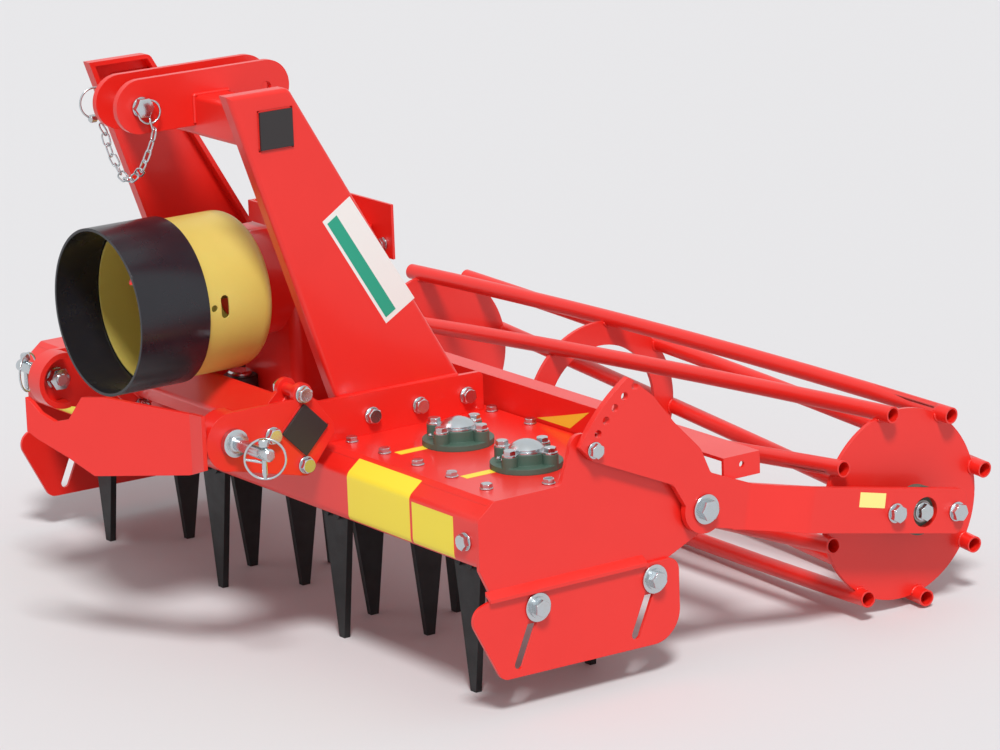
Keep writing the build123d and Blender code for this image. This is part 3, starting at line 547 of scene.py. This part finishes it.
up = (0.0, 0.0, 1.0)
outward = (1.0, 0.0, 0.0)
inward = (-1.0, 0.0, 0.0)
forward = (0.0, -1.0, 0.0)
rearward = (0.0, 1.0, 0.0)
deck = 372.2
deck_bolt = 0.95
frame_bolt = 1.26
foot_plate_face = 250.2
bracket_outside, bracket_inside = 300.2, 239.8
clamp_top, clamp_front, clamp_foot = (-247, 483), (-311, 422), (-247, 359)
front_slot, rear_slot = (-91, 178), (151, 177)
roller_arm_face = 787.2

deck_rows = [(x, -132, deck, up, deck_bolt) for x in (170, 270, 370, 470, 570, 670)]
deck_rows += [(x, 165, deck, up, deck_bolt) for x in (267, 382, 612, 700)]
deck_rows += [(714, y, deck, up, deck_bolt) for y in (-37, 72)]
deck_rows += [(foot_plate_face, y, 405, outward, frame_bolt) for y in (-76, 24, 124)]
deck_rows += [(bracket_outside, *spot, outward, frame_bolt) for spot in (clamp_top, clamp_front, clamp_foot)]
deck_rows += [(704, -200.2, 303, forward, 1.3)]
set_out("frame_bolts", hex_bolt, both_ends(deck_rows), zinc, "harrow")
set_out("stop_bolts", hex_bolt, both_ends([(757.3, 27, 426, outward, 1.2)]), zinc, "harrow")
slot_rows = [(746.2, *spot, outward, 1.4) for spot in (front_slot, rear_slot)]
set_out("deflector_bolts", wide_bolt, both_ends(slot_rows), zinc, "harrow")
nut_rows = [(bracket_inside, *spot, inward, 1.2) for spot in (clamp_top, clamp_foot, clamp_front)]
nut_rows += [(731.8, *rear_slot, inward, 1.0)]
set_out("clamp_nuts", stud_nut, both_ends(nut_rows), zinc, "harrow")
bearing_rows = [(roller_arm_face, y, z, outward, 1.46) for y, z in ((646, 204), (785, 180))]
set_out("roller_bearing_bolts", hex_bolt, both_ends(bearing_rows), zinc, "roller_frame")
shaft_end_rows = [(779.2, roller_y, roller_z, outward, 1.4)]
set_out("roller_shaft_bolts", hex_bolt, both_ends(shaft_end_rows), zinc, "roller")


# Rotor bearings, their caps and the roller's bearings
# Grey iron, sand-cast, shot-blasted and sprayed dark green: a fine grain under a satin coat. Pressed caps,
# zinc-plated, close them under four bolts each, and a grease nipple stands on each casting's front.
rotor_places = [200.0 * index for index in range(-3, 4)]
beside_mast = 200
cap_ear_z = 400.9
ear_circle = 49.0
foot_plate_x = 230.0
ear_bolt, ear_bolt_beside_plate = 1.0, 0.72
nipple_x, nipple_y, nipple_z = 13.3, -36.6, 386
nipple_aim = (-0.3, -0.85, 0.4)
nipple_profile = [
    (0, -2), (3.6, -2), (3.6, 5), (2.2, 6), (2.2, 9), (3.2, 10.5), (2.6, 13), (1.2, 14), (0, 14),
]


def cast_paint(name, colour, shade):
    """Satin paint on a sand casting: grain about 2 mm across and worn, lighter patches."""
    material, tree = new_material(name)
    place, drift, tone = blotches(tree, 24.0, colour, shade)
    sheen = add_node(tree, "ShaderNodeMapRange", Value=drift, To_Min=0.38, To_Max=0.6)
    shader = add_node(
        tree, "ShaderNodeBsdfPrincipled", Base_Color=tone, Roughness=sheen.outputs["Result"],
        Normal=grained(tree, place, 0.002, 480.0, 3.0, 0.35, 0.0009), IOR=1.5,
    )
    add_node(tree, "ShaderNodeOutputMaterial", Surface=shader.outputs["BSDF"])
    return material


green_casting = cast_paint("dark_green_paint_on_iron", "#4F6A5D", "#405649")
dress(["rotor_bearings", "roller_bearings"], green_casting)
dress(["bearing_caps"], zinc)

ear_rows = []
nipples = bmesh.new()
for x in rotor_places:
    if x == 0:
        continue
    first_deg = 45.0 if abs(x) == beside_mast else 20.0
    for step in range(4):
        angle = math.radians(first_deg + 90.0 * step)
        ear_x = x + ear_circle * math.cos(angle)
        beside_plate = abs(ear_x) > foot_plate_x and abs(x) == beside_mast
        ear_x = math.copysign(foot_plate_x, x) if beside_plate else ear_x
        size = ear_bolt_beside_plate if beside_plate else ear_bolt
        ear_rows.append((at(ear_x, ear_circle * math.sin(angle), cap_ear_z), up, size, 0.0))
    lathe(nipples, nipple_profile, frame_along(at(x - nipple_x, nipple_y, nipple_z), nipple_aim), 16)
set_out("bearing_cap_bolts", hex_bolt, ear_rows, zinc, "harrow")
finish_mesh("grease_nipples", nipples, zinc, "harrow")


# Rotors
# Forged bars and boron-steel knife tines, quenched and tempered: a dark oxide scale, nearly black, with a
# satin metal shine where the forging die smoothed it. Two bolts hold each tine to its bar.
tine_face = 123.2
tine_shift = 7.0
tine_bolt = 0.82
tine_bolt_z = 228.0
tine_bolt_reach = 17.0


def scaled_steel(name, colour, shade, rough):
    """Dark oxide on steel: metal with a cloudy blue-black scale, pits about 1 mm across and eased edges."""
    material, tree = new_material(name)
    place, drift, tone = blotches(tree, 30.0, colour, shade, 6.0)
    sheen = add_node(tree, "ShaderNodeMapRange", Value=drift, To_Min=rough - 0.08, To_Max=rough + 0.12)
    shader = add_node(
        tree, "ShaderNodeBsdfPrincipled", Base_Color=tone, Metallic=0.75,
        Roughness=sheen.outputs["Result"], Normal=grained(tree, place, 0.001, 800.0, 3.0, 0.2, 0.0005),
    )
    add_node(tree, "ShaderNodeOutputMaterial", Surface=shader.outputs["BSDF"])
    return material


dark_steel = scaled_steel("dark_oxide_on_forged_steel", "#3C3D3F", "#2A2A29", 0.46)
bright_steel = scaled_steel("machined_steel", "#A9A9A6", "#8D8C88", 0.32)
dress([f"rotor_{index + 1}_{part}" for index in range(7) for part in ("holder", "tines")], dark_steel)
dress(["gear_train", "roller_stubs"], bright_steel)
for index, x in enumerate(rotor_places):
    quarter = Matrix.Rotation(math.pi / 2 * (index % 2), 4, "Z")
    rows = []
    for side in sides:
        for along in (-tine_bolt_reach, tine_bolt_reach):
            spot = quarter @ Vector((side * (tine_shift + along), side * tine_face, 0))
            aim = quarter @ Vector((0, side, 0))
            rows.append((at(x + spot.x, spot.y, tine_bolt_z), aim, tine_bolt, 0.0))
    set_out(f"rotor_{index + 1}_tine_bolts", hex_bolt, rows, dark_steel, f"rotor_{index + 1}")


# Shaft shield
# Two moulded polyethylene cups clipped into each other: a glossy black one in front, faintly waved where
# the mould cooled, and an ochre one behind it that lets a little light through and scuffs dull.


def moulded(name, colour, shade, low, high, waves_per_metre, light_through):
    """Moulded plastic: slow waves in the wall and eased edges."""
    material, tree = new_material(name)
    place, drift, tone = blotches(tree, 9.0, colour, shade)
    sheen = add_node(tree, "ShaderNodeMapRange", Value=drift, To_Min=low, To_Max=high)
    shader = add_node(
        tree, "ShaderNodeBsdfPrincipled", Base_Color=tone, Roughness=sheen.outputs["Result"],
        Normal=grained(tree, place, 0.0015, waves_per_metre, 0.0, 0.12, 0.002), IOR=1.5,
        Subsurface_Weight=light_through, Subsurface_Scale=0.004,
    )
    add_node(tree, "ShaderNodeOutputMaterial", Surface=shader.outputs["BSDF"])
    return material


black_shield = moulded("moulded_black_polyethylene", "#15151B", "#1D1D25", 0.2, 0.34, 12.0, 0.0)
ochre_shield = moulded("moulded_ochre_polyethylene", "#D8C566", "#CBB556", 0.34, 0.5, 14.0, 0.1)
dress(["shield_front"], black_shield)
dress(["shield_rear"], ochre_shield)


# Plugs in the square tubes
# Injection-moulded polyethylene, black and satin from the mould, driven into the ends of the mast's and
# the hitch's tubes, where each stands a few millimetres proud.
black_plug = moulded("moulded_black_plug", "#2B2829", "#232122", 0.4, 0.5, 60.0, 0.0)
dress(["tube_end_caps"], black_plug)


# Gearbox fittings
# Pressed steel lids in the same red coat on the box's sides and top, zinc bolts and a zinc breather on
# them, a black oil bottle at the front, and a splined input shaft, machined and lightly greased.
lid_bolt_count = 6
side_lid_x, side_lid_y, side_lid_z, side_lid_circle = 92.0, -35, 545, 43
side_lid_face, side_lid_bolt = 100.1, 0.62
side_lid_profile = [(0, -1), (54, -1), (54, 6), (51, 8), (30, 8), (27, 5), (0, 5)]
top_lid_y, top_lid_z, top_lid_circle = -38, 694, 50
top_lid_face, top_lid_bolt = 700.6, 0.55
top_lid_profile = [(0, -1), (62, -1), (62, 5), (60, 6.5), (0, 6.5)]
box_foot, guard_bolt_z = 396.1, 665
breather_foot = 700.4
breather_profile = [(0, 0), (9, 0), (9, 6), (6, 8), (6, 13), (10, 14), (10, 24), (8, 26), (0, 26)]
bottle_x, bottle_y, bottle_z, bottle_neck_z = -52, -152, 396.5, 434.5
bottle_profile = [(0, -2), (30, -2), (31, 0), (31, 36), (29, 38), (0, 38)]
bottle_cap_profile = [(0, 0), (22, 0), (22, 5), (19, 8), (0, 8)]

lids = bmesh.new()
for side in sides:
    lid_place = frame_along(at(side * side_lid_x, side_lid_y, side_lid_z), (side, 0, 0))
    lathe(lids, side_lid_profile, lid_place)
lathe(lids, top_lid_profile, frame_along(at(0, top_lid_y, top_lid_z), up))
finish_mesh("gearbox_lids", lids, red_coat, "harrow")

lid_rows = []
for step in range(lid_bolt_count):
    angle = math.tau * (step + 0.5) / lid_bolt_count
    lid_y = side_lid_y + side_lid_circle * math.cos(angle)
    lid_z = side_lid_z + side_lid_circle * math.sin(angle)
    lid_rows.append((side_lid_face, lid_y, lid_z, outward, side_lid_bolt))
lid_rows += [(100, y, box_foot, up, 0.64) for y in (-112, -35, 42)]
lid_rows += [(60, -133, box_foot, up, 0.62), (60, 63.4, box_foot, up, 0.6)]
lid_rows += [(112, 54.8, guard_bolt_z, forward, 1.0), (50, 60.2, guard_bolt_z, rearward, 1.0)]
lid_rows += [(112, 60.2, guard_bolt_z, rearward, 0.9)]
set_out("gearbox_bolts", hex_bolt, both_ends(lid_rows), zinc, "harrow")

top_rows = []
for step in range(lid_bolt_count):
    angle = math.tau * step / lid_bolt_count
    lid_x = top_lid_circle * math.cos(angle)
    lid_y = top_lid_y + top_lid_circle * math.sin(angle)
    top_rows.append((at(lid_x, lid_y, top_lid_face), up, top_lid_bolt, 0.0))
set_out("gearbox_top_bolts", hex_bolt, top_rows, zinc, "harrow")

breather = bmesh.new()
breather_place = frame_along(at(0, top_lid_y, breather_foot), up)
lathe(breather, breather_profile, breather_place, 24)
hexagon(breather, 20.0, 0.0, 7.0, breather_place)
finish_mesh("gearbox_breather", breather, zinc, "harrow")

bottle = bmesh.new()
lathe(bottle, bottle_profile, frame_along(at(bottle_x, bottle_y, bottle_z), up), 32)
finish_mesh("oil_bottle", bottle, black_plug, "harrow")
bottle_cap = bmesh.new()
lathe(bottle_cap, bottle_cap_profile, frame_along(at(bottle_x, bottle_y, bottle_neck_z), up), 32)
finish_mesh("oil_bottle_cap", bottle_cap, zinc, "harrow")

shaft_z = 608.0
shaft_front, shoulder_y = -271.0, -183.0
spline_length = shoulder_y - shaft_front
shoulder, tooth, root, neck, tip = 21.4, 17.4, 14.6, 14.4, 13.4
spline_steps = 72
steps_per_tooth = 12
# Distance in front of the shoulder, radius on the teeth, radius between them.
spline_rows = [
    (-56, shoulder, shoulder), (1, shoulder, shoulder), (1, tooth, root), (44, tooth, root),
    (46, root, neck), (54, root, neck), (56, tooth, root), (spline_length - 3, tooth, root),
    (spline_length, neck, tip),
]
splines = bmesh.new()
spline_place = frame_along(at(0, shoulder_y, shaft_z), forward)
rings = []
for height, on_tooth, between in spline_rows:
    ring = []
    for step in range(spline_steps):
        radius = on_tooth if step % steps_per_tooth < steps_per_tooth / 2 else between
        ring.append(splines.verts.new(spline_place @ spot_on_circle(radius, step, spline_steps, height)))
    rings.append(ring)
join_all(splines, rings)
shaft_piece = finish_mesh("splined_input_shaft", splines, bright_steel, "input_stub")
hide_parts("pto_stub")


# Lower hitch pins with their lynch pins
# Turned bar with a welded collar and a nut inside the bracket, zinc-plated. A lynch pin drops through each
# tip and its spring ring snaps round the bar.
pin_foot, pin_y, pin_z = 300, -390.0, 425.0
pin_profile = [
    (0, -34), (9.5, -34), (11, -32), (11, 0), (23, 0), (24, 1.5), (24, 12), (21, 14), (13.5, 14.5), (11, 17),
    (11, 115), (8, 118), (0, 118),
]
pin_nut_flats, pin_nut_start, pin_nut_end = 36.0, 10.0, 29.5
pin_washer_radius, pin_washer_end = 20, 13
clip_x = 398.0
clip_bar = [(0, -44), (2.4, -43), (4.6, -36), (4.6, 16), (0, 16)]
clip_head = [(0, 11), (7, 11), (9, 13), (9, 22), (7, 25), (0, 26)]
clip_ring_radius, clip_ring_wire, clip_ring_steps = 34.5, 2.1, 64
clip_leaf_radii = (2.2, 2.6, 2.2)
wire_sharp_deg = 40.0


def wire_ring(shape, centre, across, radius, wire, steps=48):
    """A closed ring of wire that stands upright along the given direction."""
    ring = []
    for step in range(steps):
        angle = math.tau * step / steps
        reach = across * math.cos(angle) + Vector(up) * math.sin(angle)
        ring.append(centre + reach * radius * mm)
    sweep(shape, ring, [wire * mm] * steps, 10, closed=True)


for side, word in ((-1, "left"), (1, "right")):
    pin = bmesh.new()
    inside_place = frame_along(at(side * pin_foot, pin_y, pin_z), (-side, 0, 0))
    lathe(pin, pin_profile, frame_along(at(side * pin_foot, pin_y, pin_z), (side, 0, 0)), 48)
    hexagon(pin, pin_nut_flats, pin_nut_start, pin_nut_end, inside_place)
    lathe(pin, disc(pin_washer_radius, pin_nut_start, pin_washer_end), inside_place)
    piece = finish_mesh(f"turned_hitch_pin_{word}", pin, zinc, "harrow")
    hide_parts(f"hitch_pin_{word}")

    clip = bmesh.new()
    clip_place = frame_along(at(side * clip_x, pin_y, pin_z), up)
    lathe(clip, clip_bar, clip_place, 20)
    lathe(clip, clip_head, clip_place, 24)
    across = Vector((0.57, side * 0.82, 0))
    centre = at(side * clip_x - side * 2, pin_y + 3, pin_z - 10)
    wire_ring(clip, centre, across, clip_ring_radius, clip_ring_wire, clip_ring_steps)
    leaf_start = centre - across * 34.0 * mm
    leaf_middle = centre - (across * 17.0 + Vector(up) * 3.0) * mm
    leaf = [leaf_start, leaf_middle, at(side * clip_x, pin_y, pin_z - 16)]
    sweep(clip, leaf, [radius * mm for radius in clip_leaf_radii])
    finish_mesh(f"lynch_pin_{word}", clip, zinc, "harrow", wire_sharp_deg)


# Top link pin, its rings and its chain
# A turned pin with a domed hexagon head, a split ring through the head, and a chain of bent wire links to
# the lynch pin that locks the other end. All zinc-plated.
link_y, link_z = -380.0, 960.0
top_pin_profile = [
    (0, -64), (7, -64), (9.4, -61), (9.4, 41), (17, 41), (18, 42.5), (18, 44), (17, 45.5), (0, 45.5),
]
lock_pin_profile = [(0, -40), (2.2, -39), (4, -33), (4, 20), (0, 20)]
ring_clamp_profile = [(0, -7), (5, -7), (7, -5), (7, 5), (5, 7), (0, 7)]
ring_wire = 1.9

top_pin = bmesh.new()
top_place = frame_along(at(0, link_y, link_z), outward)
lathe(top_pin, top_pin_profile, top_place)
hexagon(top_pin, 31.0, 44.5, 57.0, top_place, -2.0)
pin_piece = finish_mesh("turned_top_link_pin", top_pin, zinc, "harrow")
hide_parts("top_link_pin")

fittings = bmesh.new()
wire_ring(fittings, at(53, -371, 952), Vector((0.12, 0.99, 0)).normalized(), 20.0, ring_wire)
lathe(fittings, lock_pin_profile, frame_along(at(-57, link_y, link_z), up), 20)
wire_ring(fittings, at(-61, -412, 958), Vector((0.1, 0.99, 0)).normalized(), 26.0, ring_wire)
lathe(fittings, ring_clamp_profile, frame_along(at(-61, -416, 931), forward), 24)
finish_mesh("top_link_rings", fittings, zinc, "harrow", wire_sharp_deg)

link_wire = 1.6
link_half_length = 12.0
link_half_width = 7.0
link_points = 24
link_tilt = 0.5
link_play = 0.25
chain_pitch = 19.4
chain_step = 0.5
chain_look = 8
chain_route = [
    (53, -368, 931), (53, -364, 915), (51, -368, 899), (50, -374, 884), (46, -381, 866), (36, -383, 851),
    (22, -381, 841), (6, -384, 831), (-10, -384, 827), (-26, -384, 831), (-40, -384, 840), (-52, -381, 850),
    (-58, -388, 870), (-60, -392, 888), (-60, -396, 908), (-61, -408, 925),
]
chain_link = bmesh.new()
straight = link_half_length - link_half_width
oval = []
for step in range(link_points):
    angle = math.tau * step / link_points
    stretch = straight if math.sin(angle) > 0 else -straight
    round_x, round_z = link_half_width * math.cos(angle), link_half_width * math.sin(angle)
    oval.append(Vector((round_x, 0, round_z + stretch)) * mm)
sweep(chain_link, oval, [link_wire * mm] * link_points, closed=True)
wire_link = part_object("wire_link", chain_link)

chain_points = even_steps([at(*point) for point in chain_route], chain_step * mm)
last_point = len(chain_points) - 1
link_rows = []
run = 0.0
for index in range(last_point):
    low, high = chain_points[index], chain_points[index + 1]
    if run >= len(link_rows) * chain_pitch * mm:
        near = chain_points[max(0, index - chain_look)]
        far = chain_points[min(last_point, index + chain_look)]
        quarter_turn = math.pi / 2 * (len(link_rows) % 2)
        link_rows.append((low, far - near, 1.0, quarter_turn + link_tilt))
    run += (high - low).length
set_out("top_link_chain", wire_link, link_rows, zinc, "harrow", link_play)


# Arm pivots
# A hexagon bolt through end plate and arm, with a turned spacer between them and a thick washer outside.
# All zinc-plated.
pivot_y, pivot_z = 255, 281
pivot_bolt, pivot_flats = 12, 32.0
pivot_nut_inside, pivot_nut_outside = 720.0, 732.0
pivot_head_low, pivot_head_high = 762.3, 775.0
pivot_spacer = [(pivot_bolt, 740), (26, 740), (26, 744.7), (pivot_bolt, 744.7)]
pivot_washer = [
    (pivot_bolt, 757.3), (25, 757.3), (26, 758), (26, 761.3), (25, pivot_head_low),
    (pivot_bolt, pivot_head_low),
]
for side, word in ((-1, "left"), (1, "right")):
    pivot = bmesh.new()
    outside_place = frame_along(at(0, pivot_y, pivot_z), (side, 0, 0))
    inside_place = frame_along(at(0, pivot_y, pivot_z), (-side, 0, 0))
    lathe(pivot, disc(pivot_bolt, 719, 763), outside_place)
    lathe(pivot, pivot_spacer, outside_place, 48)
    lathe(pivot, pivot_washer, outside_place, 48)
    hexagon(pivot, pivot_flats, pivot_head_low, pivot_head_high, outside_place, 0.6)
    hexagon(pivot, pivot_flats, -pivot_nut_outside, -pivot_nut_inside, inside_place)
    piece = finish_mesh(f"pivot_bolt_{word}", pivot, zinc, "harrow")
    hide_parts(f"arm_pivot_{word}")


# Blank plates and stripes
# Printed vinyl, 0.35 mm thick, laid over the coat: white and green on the mast, yellow on the trough, the
# deck, the rear panel and the arm. Its edge stands up as a thin line and its gloss is lower than the coat's.
sheet = 0.35
lift_x = Vector((sheet * mm, 0, 0))
lift_y = Vector((0, -sheet * mm, 0))
lift_z = Vector((0, 0, sheet * mm))
lift_front = Vector((0, -0.28, 0.22)) * mm


def vinyl(name, colour):
    """Matt laminated vinyl with faint bubbles."""
    material, tree = new_material(name)
    place = add_node(tree, "ShaderNodeTexCoord").outputs["Object"]
    bubbles = add_node(tree, "ShaderNodeTexNoise", Vector=place, Scale=60.0, Detail=3.0)
    bump = add_node(tree, "ShaderNodeBump", Height=bubbles.outputs["Fac"], Strength=0.1, Distance=0.0004)
    sheen = add_node(tree, "ShaderNodeMapRange", Value=bubbles.outputs["Fac"], To_Min=0.36, To_Max=0.48)
    shader = add_node(
        tree, "ShaderNodeBsdfPrincipled", Base_Color=linear(colour), Roughness=sheen.outputs["Result"],
        Normal=bump.outputs["Normal"], IOR=1.5,
    )
    add_node(tree, "ShaderNodeOutputMaterial", Surface=shader.outputs["BSDF"])
    return material


def rim_of(grid):
    """The outer places of a grid, in order round it."""
    return grid[0] + [row[-1] for row in grid[1:]] + grid[-1][-2::-1] + [row[0] for row in grid[-2:0:-1]]


def laid_on(shape, rows, lift):
    """A thin sheet over a grid of places: its top face and its edges down to the coat. Lift is a vector."""
    top = [[shape.verts.new(at(*spot) + lift) for spot in row] for row in rows]
    low = [[shape.verts.new(at(*spot)) for spot in row] for row in rows]
    for upper, lower in zip(top, top[1:]):
        for left in range(len(upper) - 1):
            shape.faces.new((upper[left], lower[left], lower[left + 1], upper[left + 1]))
    join_rings(shape, rim_of(top), rim_of(low))
    kept = set(rim_of(low))
    for vert in [vert for row in low for vert in row if vert not in kept]:
        shape.verts.remove(vert)


white_vinyl = vinyl("white_vinyl", "#E8E8E4")
green_vinyl = vinyl("green_vinyl", "#1E9E80")
yellow_vinyl = vinyl("yellow_vinyl", "#F2DC3C")
pale_vinyl = vinyl("pale_yellow_vinyl", "#F4E98A")

mast_face, plate_face = 240.02, 240.4
plate = [(-153, 757), (-96, 793), (29, 594), (-32, 559)]
plate_rows = [[(mast_face, *plate[first]), (mast_face, *plate[second])] for first, second in ((0, 1), (3, 2))]
mast_sheet = bmesh.new()
laid_on(mast_sheet, plate_rows, lift_x)
finish_mesh("mast_plate_white", mast_sheet, white_vinyl, "harrow")


def across_plate(share_long, share_wide):
    """A place on the mast's plate, by its share of the way down and across."""
    (ay, az), (by, bz), (cy, cz), (dy, dz) = plate
    left = (ay + (dy - ay) * share_long, az + (dz - az) * share_long)
    right = (by + (cy - by) * share_long, bz + (cz - bz) * share_long)
    y, z = (near + (far - near) * share_wide for near, far in zip(left, right))
    return (plate_face, y, z)


band_rows = [[across_plate(down, share) for share in (0.08, 0.42)] for down in (0.04, 0.96)]
band = bmesh.new()
laid_on(band, band_rows, lift_x)
finish_mesh("mast_plate_green", band, green_vinyl, "harrow")

front_y = -200.0
bend_radius = 16.0
upper_bend_z, lower_bend_z = 337.28, 274.0


def bend(centre_z, degrees):
    """Places round a bend of the trough's front, by their angles from +Y toward +Z."""
    angles = [math.radians(degree) for degree in degrees]
    centre_y = front_y + bend_radius
    return [(centre_y + bend_radius * math.cos(a), centre_z + bend_radius * math.sin(a)) for a in angles]


profile = [(-172.5, 366.84), (-180.0, 360.88), (-189.0, 353.74)]
profile += bend(upper_bend_z, (128.5, 138.8, 149.1, 159.4, 169.7, 180.0))
profile += [(front_y, z) for z in (318.0, 296.0, lower_bend_z)]
profile += bend(lower_bend_z, (190.0, 202.0, 214.0))
trough_sheets = bmesh.new()
# Both ends in X, and the first row of the profile.
for first_x, last_x, first_row in ((354, 541, 0), (548, 668, 8), (-541, -354, 0), (-668, -548, 8)):
    steps = [first_x + (last_x - first_x) * share / 4 for share in range(5)]
    laid_on(trough_sheets, [[(x, y, z) for x in steps] for y, z in profile[first_row:]], lift_front)
finish_mesh("trough_sheets", trough_sheets, yellow_vinyl, "harrow")

dash_half_width, dash_half_length, deck_face = 10, 30, 372.02
panel_face = 183.98
panel_rows = [
    [(376, panel_face, 378), (453, panel_face, 397)],
    [(473, panel_face, 378), (530, panel_face, 417)],
]
marks = bmesh.new()
for x, y in ((387, -87), (587, -90)):
    dash_ends = (y + dash_half_length, y - dash_half_length)
    dash_rows = [[(x + side * dash_half_width, end, deck_face) for side in sides] for end in dash_ends]
    laid_on(marks, dash_rows, lift_z)
laid_on(marks, panel_rows, lift_y)
finish_mesh("deck_marks", marks, yellow_vinyl, "harrow")

arm_face = 787.02
tag_rows = [[(arm_face, 569, 256), (arm_face, 626, 243)], [(arm_face, 565, 230), (arm_face, 622, 217)]]
tag = bmesh.new()
laid_on(tag, tag_rows, lift_x)
finish_mesh("arm_tag", tag, pale_vinyl, "roller_frame")


# Stage, light and camera
# A pale matt floor under a pale sky, with one soft sun from the front right. What the camera and mirrors
# see of the sky is brighter than what lights the object. The camera stands where the photograph's did,
# and its place is in metres.
bpy.ops.mesh.primitive_plane_add(size=30.0, location=(0, 0, 0))
floor = bpy.context.object
floor.name = "floor"
material, tree = new_material("pale_floor")
shader = add_node(tree, "ShaderNodeBsdfPrincipled", Base_Color=linear("#D4D3D4"), Roughness=0.9)
add_node(tree, "ShaderNodeOutputMaterial", Surface=shader.outputs["BSDF"])
floor.data.materials.append(material)

world = bpy.data.worlds.new("studio")
bpy.context.scene.world = world
world.use_nodes = True
tree = world.node_tree
tree.nodes.clear()
rays = add_node(tree, "ShaderNodeLightPath").outputs
seen = add_node(
    tree, "ShaderNodeMath", {"operation": "MAXIMUM"}, i0=rays["Is Camera Ray"], i1=rays["Is Glossy Ray"]
)
seen = add_node(
    tree, "ShaderNodeMath", {"operation": "MAXIMUM"}, i0=seen.outputs["Value"], i1=rays["Is Transmission Ray"]
)
sky_light = add_node(tree, "ShaderNodeBackground", Color=(0.87, 0.88, 0.9, 1.0), Strength=0.6)
backdrop = add_node(tree, "ShaderNodeBackground", Color=(0.9, 0.9, 0.91, 1.0), Strength=0.9)
both = add_node(
    tree, "ShaderNodeMixShader", i0=seen.outputs["Value"], i1=sky_light.outputs["Background"],
    i2=backdrop.outputs["Background"],
)
add_node(tree, "ShaderNodeOutputWorld", Surface=both.outputs["Shader"])

sun_data = bpy.data.lights.new("key", "SUN")
sun_data.energy = 2.7
sun_data.angle = 0.2
sun = bpy.data.objects.new("key", sun_data)
sun.rotation_euler = Vector((0.52, -0.3, 0.8)).to_track_quat("Z", "Y").to_euler()
bpy.context.scene.collection.objects.link(sun)

picture_width = 1000
focal_pixels = 4564.06
azimuth_deg, elevation_deg, roll_deg = 55.04, 14.37, -2.02
camera_data = bpy.data.cameras.new("camera")
camera_data.sensor_width = 36.0
camera_data.lens = focal_pixels / picture_width * camera_data.sensor_width
camera = bpy.data.objects.new("camera", camera_data)
bpy.context.scene.collection.objects.link(camera)
azimuth, elevation, roll = (math.radians(v) for v in (azimuth_deg, elevation_deg, roll_deg))
level_share = math.cos(elevation)
back = Vector((math.sin(azimuth) * level_share, -math.cos(azimuth) * level_share, math.sin(elevation)))
level = Vector((0, 0, 1)).cross(back).normalized()
upright = back.cross(level)
right = level * math.cos(roll) + upright * math.sin(roll)
top = upright * math.cos(roll) - level * math.sin(roll)
turn = Matrix((right, top, back)).transposed()
position = Vector((6.6208, -4.2574 + rotor_row_y, 2.4200))
camera.matrix_world = Matrix.Translation(position) @ turn.to_4x4()
bpy.context.scene.camera = camera
bpy.context.scene.view_settings.view_transform = "Standard"

for part in (hex_bolt, wide_bolt, stud_nut, wire_link):
    bpy.data.objects.remove(part)
